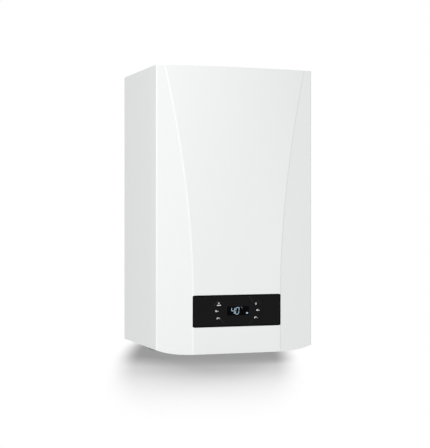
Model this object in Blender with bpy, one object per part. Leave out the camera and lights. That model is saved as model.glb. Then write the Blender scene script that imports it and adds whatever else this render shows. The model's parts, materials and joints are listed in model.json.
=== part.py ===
"""Condensing combi boiler, wall hung, modelled as its separate pieces.

Metres, +Z up. The wall is the plane y = 0, the front faces -Y, and the origin is the
centre of the wall bracket's rear face. Inside the one-piece front cover lie the chassis,
the heat cell with its fan, the hydraulics and the hinged control box.
"""
import math

import bmesh
import bpy
from mathutils import Vector

# Casing
CASE_WIDTH = 0.400
SIDE_HEIGHT = 0.675
SIDE_DEPTH = 0.291
TOP_ABOVE_BRACKET = 0.060
COVER_WALL = 0.0015
COVER_WALL_STANDOFF = 0.002
COVER_LIP = 0.012
COVER_TUCK = 0.0005
FOLD_RADIUS = 0.004
CENTRE_BOW = 0.0128
TOP_BOW_GAIN = 0.0052
CHIN_DROP = 0.013
CHIN_FLAT_HALF = 0.100
WING_SLOPE_LOW_share = 0.140
WING_SLOPE_HIGH_share = 0.171
CREASE_TOP_INSET = 0.020
CREASE_START_HEIGHT = 0.130
CREASE_POWER_share = 1.82
RISER_WIDTH = 0.002
RISER_HEIGHT = 0.0012

# Running and fitting clearances
FACE_GAP = 0.0003
HOLE_GAP = 0.0005
WINDOW_GAP = 0.0005
SPIN_GAP = 0.0020
CUT_OVERRUN = 0.002

# Wall bracket and chassis
SHEET = 0.0015
BRACKET_WIDTH = 0.340
BRACKET_HEIGHT = 0.050
BRACKET_PLATE = 0.003
HOOK_OFFSET = 0.120
HOOK_WIDTH = 0.024
HOOK_SHEET_PLAY = 0.001
HOOK_RISE = 0.014
HOOK_METAL = 0.003
HOOK_SLOT_PLAY = 0.002
SCREW_SLOT_OFFSET = 0.150
SCREW_SLOT_LENGTH = 0.022
SCREW_SLOT_HEIGHT = 0.009
REAR_SHEET_STANDOFF = 0.0105
REAR_FLANGE = 0.020
PANEL_RECESS = 0.013

# Flue
FLUE_DEPTH = 0.150
FLUE_RADIUS = 0.030
FLUE_SHEET = 0.0015
AIR_RADIUS = 0.050
COLLAR_WALL = 0.0020
COLLAR_FLANGE = 0.016
COLLAR_FLANGE_THICKNESS = 0.002
COLLAR_ABOVE_CASE = 0.010
FLUE_TOP_DROP = 0.002
SAMPLE_CAP_RADIUS = 0.005
SAMPLE_CAP_HEIGHT = 0.010
SAMPLE_CAP_ANGLE = 0.35
SAMPLE_CAP_STEM_share = 0.8
SAMPLE_CAP_RIM_share = 0.25

# Heat cell
CELL_X = 0.050
CELL_Z = -0.200
CELL_RADIUS = 0.108
CELL_WALL = 0.010
CELL_FRONT = 0.225
CELL_BACK = 0.095
CELL_BACK_WALL = 0.008
CELL_FLUE_SPIGOT = 0.020
SPIGOT_RADIUS = 0.012
SPIGOT_REACH = 0.112
RETURN_SPIGOT_X = 0.128
FLOW_SPIGOT_X = 0.000
COIL_TUBE = 0.007
COIL_SPACING = 0.0155
COIL_TURNS = 6
COIL_STEPS = 16
COIL_SIDES = 5
DOOR_RIM = 0.006
DOOR_THICKNESS = 0.006
DOOR_BOSS_RADIUS = 0.026
DOOR_BOSS_HEIGHT = 0.006
DOOR_NUT_RADIUS = 0.0065
DOOR_NUT_HEIGHT = 0.006
DOOR_NUT_INSET = 0.012
DOOR_NUTS = 4
BURNER_RADIUS = 0.035
BURNER_LENGTH = 0.085
BURNER_FLANGE = 0.006
BURNER_FLANGE_THICKNESS = 0.002
ELECTRODE_OFFSET = 0.050
ELECTRODE_TURN = 0.5
ELECTRODE_RADIUS = 0.005
ELECTRODE_ROD = 0.0015
ELECTRODE_OUT = 0.018
ELECTRODE_IN = 0.040

# Fan and mixture path
FAN_X = -0.115
FAN_Z = -0.345
FAN_FRONT = 0.190
FAN_RADIUS = 0.058
FAN_DEPTH = 0.048
FAN_WALL = 0.004
FAN_NECK_RADIUS = 0.019
FAN_NECK_X = -0.045
FAN_MOTOR_FLANGE = 0.005
FAN_MOTOR_RADIUS = 0.034
FAN_MOTOR_LENGTH = 0.038
IMPELLER_BLADES = 10
IMPELLER_PLATE = 0.003
IMPELLER_HUB = 0.012
BLADE_WALL = 0.002
MIXER_RADIUS = 0.026
MIXER_THROAT = 0.017
MIXER_BORE = 0.014
MIXER_LENGTH = 0.040
MIX_TUBE_RADIUS = 0.017
MIX_TUBE_WALL = 0.002
MIX_TUBE_FRONT = 0.2670
MIX_BEND = 0.024
INTAKE_RADIUS = 0.022
INTAKE_FRONT = 0.259
INTAKE_BEND = 0.0235
INTAKE_TOP = -0.150
SILENCER_WIDTH = 0.076
SILENCER_DEPTH = 0.064
SILENCER_HEIGHT = 0.090
SILENCER_WALL = 0.002

# Expansion vessel
VESSEL_HALF_WIDTH = 0.165
VESSEL_TOP = -0.030
VESSEL_BOTTOM = -0.405
VESSEL_DEPTH = 0.068
VESSEL_CORNER = 0.050
VESSEL_SEAM = 0.004
VESSEL_PIPE_RADIUS = 0.005

# Connections under the case, left to right
STUB_DEPTH = 0.110
STUB_BELOW_CHIN = 0.004
STUB_HEX = 0.0165
STUB_HEX_HEIGHT = 0.010
STUB_WIDE_RADIUS = 0.0132
STUB_WIDE_BORE = 0.0098
STUB_SLIM_RADIUS = 0.0104
STUB_SLIM_BORE = 0.0075
STUB_BORE_DEPTH = 0.030
FLOOR_RISE = 0.0145
PIPE_WIDE = 0.009
PIPE_SLIM = 0.0075
PIPE_GAS = 0.008
PIPE_BEND = 0.018

# Hydraulic blocks, plate exchanger, pump
BLOCK_SIDE_INSET = 0.070
BLOCK_WIDTH = 0.040
BLOCK_FRONT = 0.135
BLOCK_BACK = 0.030
BLOCK_HEIGHT = 0.050
BLOCK_LIFT = 0.014
BLOCK_EDGE = 0.002
PLATES_FRONT = 0.078
PLATES_HEIGHT = 0.068
PLATES_RIB = 0.0016
PLATES_RIBS = 9
PUMP_FRONT = 0.135
PUMP_RADIUS = 0.043
PUMP_DEPTH = 0.046
PUMP_WALL = 0.006
PUMP_LIFT = 0.012
PUMP_NECK = 0.013
PUMP_MOTOR_RADIUS = 0.040
PUMP_MOTOR_LENGTH = 0.056
PUMP_BLADES = 6
PUMP_SHAFT = 0.004
FLOW_PIPE_DEPTH = 0.0875
FLOW_PIPE_LEVEL = -0.425
VENT_DEPTH = 0.052
VENT_RADIUS = 0.011
VENT_HEIGHT = 0.040
VENT_CAP_RADIUS = 0.006
VENT_CAP_HEIGHT = 0.006
RELIEF_RADIUS = 0.013
RELIEF_LENGTH = 0.026
RELIEF_KNOB_RADIUS = 0.017
RELIEF_KNOB_LENGTH = 0.018
DRAIN_RADIUS = 0.009
DRAIN_LENGTH = 0.018
DRAIN_HANDLE_RADIUS = 0.006
DRAIN_HANDLE_REACH = 0.026
DRAIN_HANDLE_THICKNESS = 0.006
STEM_RADIUS = 0.005
STEM_LENGTH = 0.024
STEM_BORE_DEPTH = 0.034
ACTUATOR_RADIUS = 0.016
ACTUATOR_LENGTH = 0.036
SENSOR_RADIUS = 0.008
SENSOR_LENGTH = 0.022
TURBINE_RADIUS = 0.013
TURBINE_BORE = 0.009
TURBINE_HEIGHT = 0.034
TURBINE_ROTOR_HEIGHT = 0.014
TURBINE_BLADES = 5
TURBINE_LIFT = 0.005
TAP_DEPTH = 0.165
TAP_BODY_RADIUS = 0.008
TAP_HEAD_share = 1.4
TAP_NECK_BELOW = 0.006
TAP_BODY_ABOVE = 0.022
TAP_KNOB_RADIUS = 0.012
TAP_KNOB_HEIGHT = 0.016
TAP_LOBES = 6
TAP_LOBE_STEPS = 4
TAP_LOBE_DEPTH = 0.0015

# Gas valve and condensate trap
VALVE_SIDE_GAP = 0.013
VALVE_WIDTH = 0.062
VALVE_BACK = 0.0985
VALVE_FRONT = 0.160
VALVE_LIFT = 0.027
VALVE_HEIGHT = 0.052
VALVE_COIL_RADIUS = 0.017
VALVE_COIL_LENGTH = 0.020
GAS_OUT_RADIUS = 0.006
GAS_OUT_DROP_share = 0.25
GAS_PIPE_DROP = 0.019
TRAP_SIDE_GAP = 0.013
TRAP_DEPTH = 0.185
TRAP_RADIUS = 0.019
TRAP_TOP = -0.500
TRAP_NECK = 0.012
TRAP_NECK_BELOW = 0.012
TRAP_CUP_HEIGHT = 0.013
TRAP_CUP_FOOT_share = 0.8
TRAP_CUP_WALL_share = 0.7
HOSE_RADIUS = 0.006
HOSE_X = -0.010
HOSE_DEPTH = 0.208
HOSE_LEVEL = -0.415
HOSE_BEND = 0.016

# Control box and display
BOX_HALF_WIDTH = 0.130
BOX_BOTTOM_LIFT = 0.022
BOX_HEIGHT = 0.122
BOX_DEPTH = 0.0665
BOX_WALL = 0.002
LID_THICKNESS = 0.003
LID_LIP = 0.004
HINGE_LUG_DROP = 0.011
HINGE_LUG_DEPTH = 0.014
HINGE_SETBACK = 0.002
HINGE_ROD_RADIUS = 0.002
HINGE_BRACKET_WIDTH = 0.006
HINGE_BRACKET_DEPTH = 0.016
GLASS_HALF_WIDTH = 0.1123
GLASS_BOTTOM = 0.0515
GLASS_HEIGHT = 0.076
GLASS_THICKNESS = 0.003
GLASS_CORNER = 0.003
CARRIER_HALF_WIDTH = 0.106
CARRIER_MARGIN = 0.004
CARRIER_WALL = 0.003
CARRIER_DEPTH = 0.0149
TOUCH_BOARD = 0.0016
SCREEN_HALF_WIDTH = 0.032
SCREEN_HEIGHT = 0.030
SCREEN_THICKNESS = 0.003
BOARD_MARGIN = 0.014
BOARD_THICKNESS = 0.0016
BOARD_STANDOFF = 0.006
BOARD_BOSS_RADIUS = 0.004
RELAY_EDGE = 0.0008
TRANSFORMER = (0.040, 0.026, 0.034)
TRANSFORMER_X = -0.070
RELAY = (0.020, 0.015, 0.026)
RELAY_X = -0.018
TERMINAL = (0.080, 0.014, 0.012)
TERMINAL_X = 0.050
TERMINAL_WAYS = 8
TERMINAL_SLOT = 0.005
GLAND_SIDE_INSET = 0.032
GLAND_DEPTH = 0.200
GLAND_RADIUS = 0.010
GLAND_BORE = 0.005
GLAND_HEX_HEIGHT = 0.006
GLAND_LENGTH = 0.020
GLAND_HEAD_share = 1.25
COVER_SCREW_DEPTH = 0.245
SCREW_TAB_WIDTH = 0.018
SCREW_TAB_HALF = 0.008
COVER_SCREW_RADIUS = 0.0020
COVER_SCREW_HEAD = 0.0040
COVER_SCREW_HEAD_HEIGHT = 0.0019
COVER_SCREW_LENGTH = 0.0090

# Resolution of round shapes
SIDES = 28
SIDES_SMALL = 16
SIDES_PIPE = 10
BEND_STEPS = 3
SHARP_EDGE = math.radians(35)
WELD_share = 0.03
CENTRE_COLUMN_shares = (0, 0.3, 0.6, 0.85, 1)
WING_COLUMN_shares = (0, 0.18, 0.36, 0.54, 0.70, 0.85, 1)
FOLD_ARC_shares = (0.34, 0.67, 1)
LOWER_ROW_shares = (0.35,)
UPPER_ROW_shares = (0.08, 0.18, 0.28, 0.38, 0.48, 0.58, 0.68, 0.78, 0.89, 1)

# Places that follow from the sizes above
HALF_WIDTH = CASE_WIDTH / 2
CREASE_HALF_LOW = GLASS_HALF_WIDTH + WINDOW_GAP
CREASE_HALF_HIGH = HALF_WIDTH - CREASE_TOP_INSET
CASE_TOP = TOP_ABOVE_BRACKET
SIDE_BOTTOM = CASE_TOP - SIDE_HEIGHT
CHIN_BOTTOM = SIDE_BOTTOM - CHIN_DROP
INNER_HALF_WIDTH = HALF_WIDTH - COVER_WALL - COVER_TUCK
COVER_SCREW_X = HALF_WIDTH - COVER_LIP / 2
INNER_FRONT = SIDE_DEPTH - FOLD_RADIUS - COVER_TUCK
PANEL_TOP = CASE_TOP - PANEL_RECESS
FLOOR_BOTTOM = SIDE_BOTTOM + FLOOR_RISE
FLOOR_TOP = FLOOR_BOTTOM + SHEET
REAR_BACK = REAR_SHEET_STANDOFF
REAR_FRONT = REAR_BACK + SHEET
HOOK_REACH = REAR_FRONT + HOOK_SHEET_PLAY
CHASSIS_TOP = PANEL_TOP - SHEET - FACE_GAP
CHASSIS_BOTTOM = FLOOR_TOP + FACE_GAP
STUB_BOTTOM = CHIN_BOTTOM - STUB_BELOW_CHIN
STUB_TOP = FLOOR_TOP + BLOCK_LIFT - FACE_GAP
BLOCK_OFFSET = HALF_WIDTH - BLOCK_SIDE_INSET
STUB_SPACING = BLOCK_OFFSET / 2
BLOCK_BOTTOM = FLOOR_TOP + BLOCK_LIFT
BLOCK_TOP = BLOCK_BOTTOM + BLOCK_HEIGHT
BLOCK_MID = (BLOCK_BOTTOM + BLOCK_TOP) / 2
BOX_BOTTOM = FLOOR_TOP + BOX_BOTTOM_LIFT
BOX_TOP = BOX_BOTTOM + BOX_HEIGHT
GLASS_FRONT = -SIDE_DEPTH - CENTRE_BOW
GLASS_BACK = GLASS_FRONT + GLASS_THICKNESS
CARRIER_BACK = GLASS_BACK + FACE_GAP + CARRIER_DEPTH
LID_FRONT = CARRIER_BACK + FACE_GAP
LID_BACK = LID_FRONT + LID_THICKNESS
BOX_FRONT = -LID_BACK - FACE_GAP
BOX_BACK = BOX_FRONT - BOX_DEPTH
BOX_INNER_BACK = -BOX_BACK - BOX_WALL
HINGE_Y = -(BOX_FRONT - HINGE_SETBACK - HINGE_LUG_DEPTH / 2)
HINGE_Z = BOX_BOTTOM - HINGE_LUG_DROP / 2
COLLAR_TOP = CASE_TOP + COLLAR_ABOVE_CASE
PUMP_Z = BLOCK_TOP + FACE_GAP + PUMP_LIFT + PUMP_RADIUS
GLASS_LOW = SIDE_BOTTOM + GLASS_BOTTOM
GLASS_HIGH = GLASS_LOW + GLASS_HEIGHT
GLASS_MID = (GLASS_LOW + GLASS_HIGH) / 2
BOARD_BACK = BOX_INNER_BACK - BOARD_STANDOFF
BOARD_FRONT = BOARD_BACK - BOARD_THICKNESS
CELL_BORE = CELL_RADIUS - CELL_WALL
FLUE_SPIGOT_TOP = CELL_Z + CELL_RADIUS + CELL_FLUE_SPIGOT
SPIGOT_BOTTOM = CELL_Z - SPIGOT_REACH
DOOR_BACK = -CELL_FRONT - FACE_GAP
DOOR_FRONT = DOOR_BACK - DOOR_THICKNESS
DOOR_RADIUS = CELL_RADIUS - DOOR_RIM
FAN_BACK = FAN_FRONT - FAN_DEPTH
FAN_BORE = FAN_RADIUS - FAN_WALL
IMPELLER_RADIUS = FAN_BORE - SPIN_GAP
MIXER_SEAT = -FAN_FRONT - FACE_GAP
MIXER_FRONT = MIXER_SEAT - MIXER_LENGTH
TAP_X = (STUB_SPACING + BLOCK_OFFSET) / 2
TAP_HEAD_RADIUS = TAP_BODY_RADIUS * TAP_HEAD_share
VALVE_RIGHT = -(STUB_SPACING + PIPE_SLIM + VALVE_SIDE_GAP)
VALVE_TOP = BLOCK_TOP + VALVE_LIFT + VALVE_COIL_LENGTH + VALVE_HEIGHT
GAS_PIPE_LEVEL = VALVE_TOP - GAS_PIPE_DROP
GAS_OUT_LEVEL = GAS_PIPE_LEVEL - VALVE_HEIGHT * GAS_OUT_DROP_share
TRAP_X = -(HALF_WIDTH - TRAP_SIDE_GAP - TRAP_RADIUS)
GLAND_X = HALF_WIDTH - GLAND_SIDE_INSET

# Connections: name, place from left to right, radius, bore and paint
STUBS = (
    ("flow", -2, STUB_WIDE_RADIUS, STUB_WIDE_BORE, "brass"),
    ("hot_water", -1, STUB_SLIM_RADIUS, STUB_SLIM_BORE, "brass"),
    ("gas", 0, STUB_WIDE_RADIUS, STUB_WIDE_BORE, "brass"),
    ("cold_water", 1, STUB_SLIM_RADIUS, STUB_SLIM_BORE, "brass"),
    ("return", 2, STUB_WIDE_RADIUS, STUB_WIDE_BORE, "brass"),
)

# Pipes that are one piece with their connection: radius and route
STUB_ROUTES = {
    "hot_water": (PIPE_SLIM, [(-STUB_SPACING, -PLATES_FRONT - FACE_GAP, BLOCK_MID),
                              (-STUB_SPACING, -STUB_DEPTH, BLOCK_MID),
                              (-STUB_SPACING, -STUB_DEPTH, STUB_TOP - PIPE_SLIM)]),
    "gas": (PIPE_GAS, [(0, -STUB_DEPTH, STUB_TOP - PIPE_GAS), (0, -STUB_DEPTH, GAS_PIPE_LEVEL),
                       (VALVE_RIGHT + FACE_GAP, -STUB_DEPTH, GAS_PIPE_LEVEL)]),
}


# Paints: colour, roughness and metallic value of each material
PAINTS = {
    "white_enamel": ((0.78, 0.79, 0.80), 0.35, 0.0),
    "black_glass": ((0.012, 0.012, 0.012), 0.08, 0.0),
    "galvanised": ((0.55, 0.56, 0.57), 0.42, 0.9),
    "stainless": ((0.56, 0.55, 0.53), 0.28, 1.0),
    "cast_alloy": ((0.50, 0.50, 0.50), 0.50, 0.9),
    "brass": ((0.60, 0.43, 0.18), 0.30, 1.0),
    "copper": ((0.64, 0.30, 0.18), 0.28, 1.0),
    "black_plastic": ((0.03, 0.03, 0.03), 0.45, 0.0),
    "grey_plastic": ((0.30, 0.31, 0.32), 0.50, 0.0),
    "vessel_red": ((0.42, 0.05, 0.04), 0.40, 0.0),
    "circuit_green": ((0.03, 0.16, 0.07), 0.40, 0.0),
    "blue_plastic": ((0.03, 0.12, 0.45), 0.40, 0.0),
    "red_plastic": ((0.50, 0.03, 0.03), 0.40, 0.0),
    "ceramic": ((0.80, 0.78, 0.72), 0.45, 0.0),
}


def paint(name):
    material = bpy.data.materials.get(name)
    if material:
        return material
    colour, roughness, metallic = PAINTS[name]
    material = bpy.data.materials.new(name)
    material.use_nodes = True
    shader = material.node_tree.nodes["Principled BSDF"]
    shader.inputs["Base Color"].default_value = (*colour, 1)
    shader.inputs["Roughness"].default_value = roughness
    shader.inputs["Metallic"].default_value = metallic
    return material


def finish(name, bm, material, origin=(0, 0, 0)):
    """Turn a bmesh in world places into an object whose origin lies at the given point."""
    bmesh.ops.remove_doubles(bm, verts=bm.verts, dist=FACE_GAP * WELD_share)
    bmesh.ops.recalc_face_normals(bm, faces=bm.faces)
    for vert in bm.verts:
        vert.co -= Vector(origin)
    mesh = bpy.data.meshes.new(name)
    bm.to_mesh(mesh)
    bm.free()
    mesh.shade_smooth()
    mesh.set_sharp_from_angle(angle=SHARP_EDGE)
    mesh.materials.append(paint(material))
    item = bpy.data.objects.new(name, mesh)
    item.location = origin
    bpy.context.scene.collection.objects.link(item)
    return item


def carve(item, *tools, operation="DIFFERENCE"):
    """Cut the tools out of the item, or fuse them to it, and drop the tools."""
    for tool in tools:
        step = item.modifiers.new(tool.name, "BOOLEAN")
        step.operation = operation
        step.solver = "EXACT"
        step.object = tool
        bpy.context.view_layer.update()
        graph = bpy.context.evaluated_depsgraph_get()
        result = bpy.data.meshes.new_from_object(item.evaluated_get(graph))
        item.modifiers.clear()
        old = item.data
        item.data = result
        result.name = item.name
        bpy.data.meshes.remove(old)
        bpy.data.objects.remove(tool)
    item.data.set_sharp_from_angle(angle=SHARP_EDGE)
    return item


def fuse(item, *tools):
    return carve(item, *tools, operation="UNION")


def block(name, material, low, high, edge=0, origin=(0, 0, 0)):
    """A box between two corners, with its edges rounded off where a size is given."""
    bm = bmesh.new()
    bmesh.ops.create_cube(bm, size=1)
    for vert in bm.verts:
        vert.co = [a if c < 0 else b for c, a, b in zip(vert.co, low, high)]
    if edge:
        bmesh.ops.bevel(bm, geom=bm.edges, offset=edge, segments=1, affect="EDGES")
    return finish(name, bm, material, origin)


def ring_place(axis, centre, radius, turn, height):
    """The place on a circle about an axis; centre holds the two values across that axis."""
    across = centre[0] + radius * math.cos(turn)
    along = centre[1] + radius * math.sin(turn)
    if axis == "X":
        return (height, across, along)
    if axis == "Y":
        return (across, height, along)
    return (across, along, height)


def turned(name, material, axis, centre, profile, sides=SIDES, origin=(0, 0, 0), closed=False):
    """Turn a profile of (radius, height) points about an axis; a closed profile is a ring."""
    bm = bmesh.new()
    rows = []
    for radius, height in profile:
        count = sides if radius else 1
        rows.append([
            bm.verts.new(ring_place(axis, centre, radius, math.tau * step / sides, height))
            for step in range(count)
        ])
    ends = [(0, 1), (-1, -2)]
    flat_ends = [
        pair for pair in ends
        if profile[pair[0]][0] == 0 and profile[pair[0]][1] == profile[pair[1]][1]
    ]
    for tip, rim in flat_ends:
        bm.faces.new(rows[rim])
        bm.verts.remove(rows[tip][0])
    rows = rows[1 if (0, 1) in flat_ends else 0:-1 if (-1, -2) in flat_ends else len(rows)]
    pairs = list(zip(rows, rows[1:]))
    if closed:
        pairs.append((rows[-1], rows[0]))
    for first, second in pairs:
        for step in range(sides):
            after = (step + 1) % sides
            bm.faces.new((first[step], second[step], second[after], first[after]))
    return finish(name, bm, material, origin)


def cylinder(name, material, axis, centre, radius, low, high, sides=SIDES, origin=(0, 0, 0)):
    profile = [(0, low), (radius, low), (radius, high), (0, high)]
    return turned(name, material, axis, centre, profile, sides, origin)


def extruded(name, material, outline, axis, low, high, origin=(0, 0, 0)):
    """Extrude a flat outline along an axis; its points hold the two values across that axis."""
    bm = bmesh.new()
    rows = []
    for height in (low, high):
        row = []
        for first, second in outline:
            row.append(bm.verts.new(ring_place(axis, (first, second), 0, 0, height)))
        rows.append(row)
    bm.faces.new(rows[0])
    bm.faces.new(rows[1])
    count = len(outline)
    for step in range(count):
        after = (step + 1) % count
        bm.faces.new((rows[0][step], rows[0][after], rows[1][after], rows[1][step]))
    return finish(name, bm, material, origin)


def rounded_rectangle(half_width, low, high, corner, steps=4):
    points = []
    centres = [
        (half_width - corner, high - corner, 0),
        (corner - half_width, high - corner, 1),
        (corner - half_width, low + corner, 2),
        (half_width - corner, low + corner, 3),
    ]
    for x, z, quarter in centres:
        for step in range(steps + 1):
            turn = math.pi / 2 * (quarter + step / steps)
            points.append((x + corner * math.cos(turn), z + corner * math.sin(turn)))
    return points


def bent_route(points, bend):
    """Round each inner corner of a route with an arc of the given radius."""
    places = [Vector(point) for point in points]
    route = [places[0]]
    for before, corner, after in zip(places, places[1:], places[2:]):
        back = (before - corner).normalized()
        ahead = (after - corner).normalized()
        half = back.angle(ahead) / 2
        reach = bend / math.tan(half)
        centre = corner + (back + ahead).normalized() * (bend / math.sin(half))
        start = corner + back * reach - centre
        end = corner + ahead * reach - centre
        sweep = start.angle(end)
        for step in range(BEND_STEPS + 1):
            share = step / BEND_STEPS
            weight_a = math.sin((1 - share) * sweep) / math.sin(sweep)
            weight_b = math.sin(share * sweep) / math.sin(sweep)
            route.append(centre + start * weight_a + end * weight_b)
    route.append(places[-1])
    return route


def swept(name, material, route, radius, bore=0, sides=SIDES_PIPE):
    """Sweep a round tube along a route, hollow and open at both ends where it has a bore."""
    bm = bmesh.new()
    places = [Vector(point) for point in route]
    side = None
    outer_rows = []
    inner_rows = []
    for index, place in enumerate(places):
        ahead = places[min(index + 1, len(places) - 1)]
        behind = places[max(index - 1, 0)]
        heading = (ahead - behind).normalized()
        if side is None:
            side = heading.orthogonal().normalized()
        side = (side - heading * side.dot(heading)).normalized()
        other = heading.cross(side)
        turns = [math.tau * step / sides for step in range(sides)]
        spokes = [side * math.cos(turn) + other * math.sin(turn) for turn in turns]
        outer_rows.append([bm.verts.new(place + spoke * radius) for spoke in spokes])
        if bore:
            inner_rows.append([bm.verts.new(place + spoke * bore) for spoke in spokes])

    def skin(rows):
        for first, second in zip(rows, rows[1:]):
            for step in range(sides):
                after = (step + 1) % sides
                bm.faces.new((first[step], first[after], second[after], second[step]))

    skin(outer_rows)
    if bore:
        skin(inner_rows)
        for outer, inner in ((outer_rows[0], inner_rows[0]), (outer_rows[-1], inner_rows[-1])):
            skin([outer, inner])
    else:
        bm.faces.new(outer_rows[0])
        bm.faces.new(outer_rows[-1])
    return finish(name, bm, material)


def crease_x(height):
    """Half distance between the two creases at a height above the side's lower edge."""
    rise = max(0, height - CREASE_START_HEIGHT) / (SIDE_HEIGHT - CREASE_START_HEIGHT)
    return CREASE_HALF_LOW + (CREASE_HALF_HIGH - CREASE_HALF_LOW) * rise ** CREASE_POWER_share


def wing_bulge(x, height):
    slope = WING_SLOPE_LOW_share
    slope += (WING_SLOPE_HIGH_share - WING_SLOPE_LOW_share) * height / SIDE_HEIGHT
    return slope * (HALF_WIDTH - FOLD_RADIUS - abs(x))


def centre_bulge(x, height):
    inner = crease_x(height) - RISER_WIDTH
    edge = wing_bulge(crease_x(height), height) + RISER_HEIGHT
    rise = max(0, height - CREASE_START_HEIGHT) / (SIDE_HEIGHT - CREASE_START_HEIGHT)
    middle = CENTRE_BOW + TOP_BOW_GAIN * rise ** CREASE_POWER_share
    return edge + (middle - edge) * (1 - (x / inner) ** 2)


def chin_drop(x):
    beyond = max(0, abs(x) - CHIN_FLAT_HALF) / (HALF_WIDTH - CHIN_FLAT_HALF)
    return CHIN_DROP * (1 - beyond ** 3)


def cover_row(height):
    """Half of one row of the cover's outer face, as (x, y) from the middle to the wall."""
    points = []
    inner = crease_x(height) - RISER_WIDTH
    for share in CENTRE_COLUMN_shares:
        points.append((inner * share, -SIDE_DEPTH - centre_bulge(inner * share, height)))
    for share in WING_COLUMN_shares:
        x = crease_x(height) + (HALF_WIDTH - FOLD_RADIUS - crease_x(height)) * share
        points.append((x, -SIDE_DEPTH - wing_bulge(x, height)))
    for share in FOLD_ARC_shares:
        turn = math.pi / 2 * (1 - share)
        x = HALF_WIDTH - FOLD_RADIUS + FOLD_RADIUS * math.cos(turn)
        points.append((x, -SIDE_DEPTH + FOLD_RADIUS - FOLD_RADIUS * math.sin(turn)))
    points.append((HALF_WIDTH, -COVER_WALL_STANDOFF))
    return points


def make_front_cover():
    """One folded sheet: curved front, two sides, lips above and below, display window."""
    window_low = GLASS_BOTTOM - WINDOW_GAP
    window_high = GLASS_BOTTOM + GLASS_HEIGHT + WINDOW_GAP
    heights = [0]
    heights += [window_low * share for share in LOWER_ROW_shares]
    heights += [window_low, window_high]
    heights += [window_high + (SIDE_HEIGHT - window_high) * share for share in UPPER_ROW_shares]
    bm = bmesh.new()
    rows = []
    for height in heights:
        half = cover_row(height)
        line = [(-x, y) for x, y in reversed(half[1:])] + half
        row = []
        for x, y in line:
            drop = chin_drop(x) if height == 0 else 0
            row.append(bm.verts.new((x, y, SIDE_BOTTOM + height - drop)))
        rows.append(row)
    lips = []
    for row in (rows[0], rows[-1]):
        lip = []
        for vert in row:
            x = vert.co.x * (1 - COVER_LIP / HALF_WIDTH)
            reach = vert.co.y + COVER_WALL_STANDOFF
            y = -COVER_WALL_STANDOFF + reach * (1 - COVER_LIP / SIDE_DEPTH)
            lip.append(bm.verts.new((x, y, vert.co.z)))
        lips.append(lip)
    rows = [lips[0]] + rows + [lips[1]]
    low_row = 1 + heights.index(window_low)
    foot = len(CENTRE_COLUMN_shares)
    middle = (len(rows[0]) - 1) // 2
    for index, (first, second) in enumerate(zip(rows, rows[1:])):
        for step in range(len(first) - 1):
            if index == low_row and middle - foot <= step < middle + foot:
                continue
            bm.faces.new((first[step], first[step + 1], second[step + 1], second[step]))
    cover = finish("front_cover", bm, "white_enamel")
    shell = cover.modifiers.new("sheet", "SOLIDIFY")
    shell.thickness = COVER_WALL
    shell.offset = -1
    shell.use_even_offset = True
    holes = []
    for side in (-1, 1):
        holes.append(cylinder(
            "hole", "galvanised", "Z", (side * COVER_SCREW_X, -COVER_SCREW_DEPTH),
            COVER_SCREW_RADIUS + HOLE_GAP, SIDE_BOTTOM - CUT_OVERRUN,
            SIDE_BOTTOM + COVER_WALL + CUT_OVERRUN, SIDES_SMALL))
    return carve(cover, *holes)


def make_cover_screws():
    head_top = SIDE_BOTTOM - FACE_GAP
    for side, name in ((-1, "left"), (1, "right")):
        turned(
            f"cover_screw_{name}", "galvanised", "Z", (side * COVER_SCREW_X, -COVER_SCREW_DEPTH),
            [(0, head_top - COVER_SCREW_HEAD_HEIGHT),
             (COVER_SCREW_HEAD, head_top - COVER_SCREW_HEAD_HEIGHT),
             (COVER_SCREW_HEAD, head_top), (COVER_SCREW_RADIUS, head_top),
             (COVER_SCREW_RADIUS, head_top + COVER_SCREW_LENGTH),
             (0, head_top + COVER_SCREW_LENGTH)], SIDES_SMALL)


def make_wall_bracket():
    half = BRACKET_HEIGHT / 2
    bracket = block("wall_bracket", "galvanised", (-BRACKET_WIDTH / 2, -BRACKET_PLATE, -half),
                    (BRACKET_WIDTH / 2, 0, half))
    for side in (-1, 1):
        x = side * HOOK_OFFSET
        tongue = block("tongue", "galvanised",
                       (x - HOOK_WIDTH / 2, -HOOK_REACH - HOOK_METAL, -HOOK_METAL / 2),
                       (x + HOOK_WIDTH / 2, -BRACKET_PLATE / 2, HOOK_METAL / 2))
        upturn = block("upturn", "galvanised",
                       (x - HOOK_WIDTH / 2, -HOOK_REACH - HOOK_METAL, 0),
                       (x + HOOK_WIDTH / 2, -HOOK_REACH, HOOK_RISE))
        fuse(bracket, tongue, upturn)
        x = side * SCREW_SLOT_OFFSET
        carve(bracket, block("slot", "galvanised",
                             (x - SCREW_SLOT_LENGTH / 2, -BRACKET_PLATE - CUT_OVERRUN,
                              -SCREW_SLOT_HEIGHT / 2),
                             (x + SCREW_SLOT_LENGTH / 2, CUT_OVERRUN, SCREW_SLOT_HEIGHT / 2)))


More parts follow.
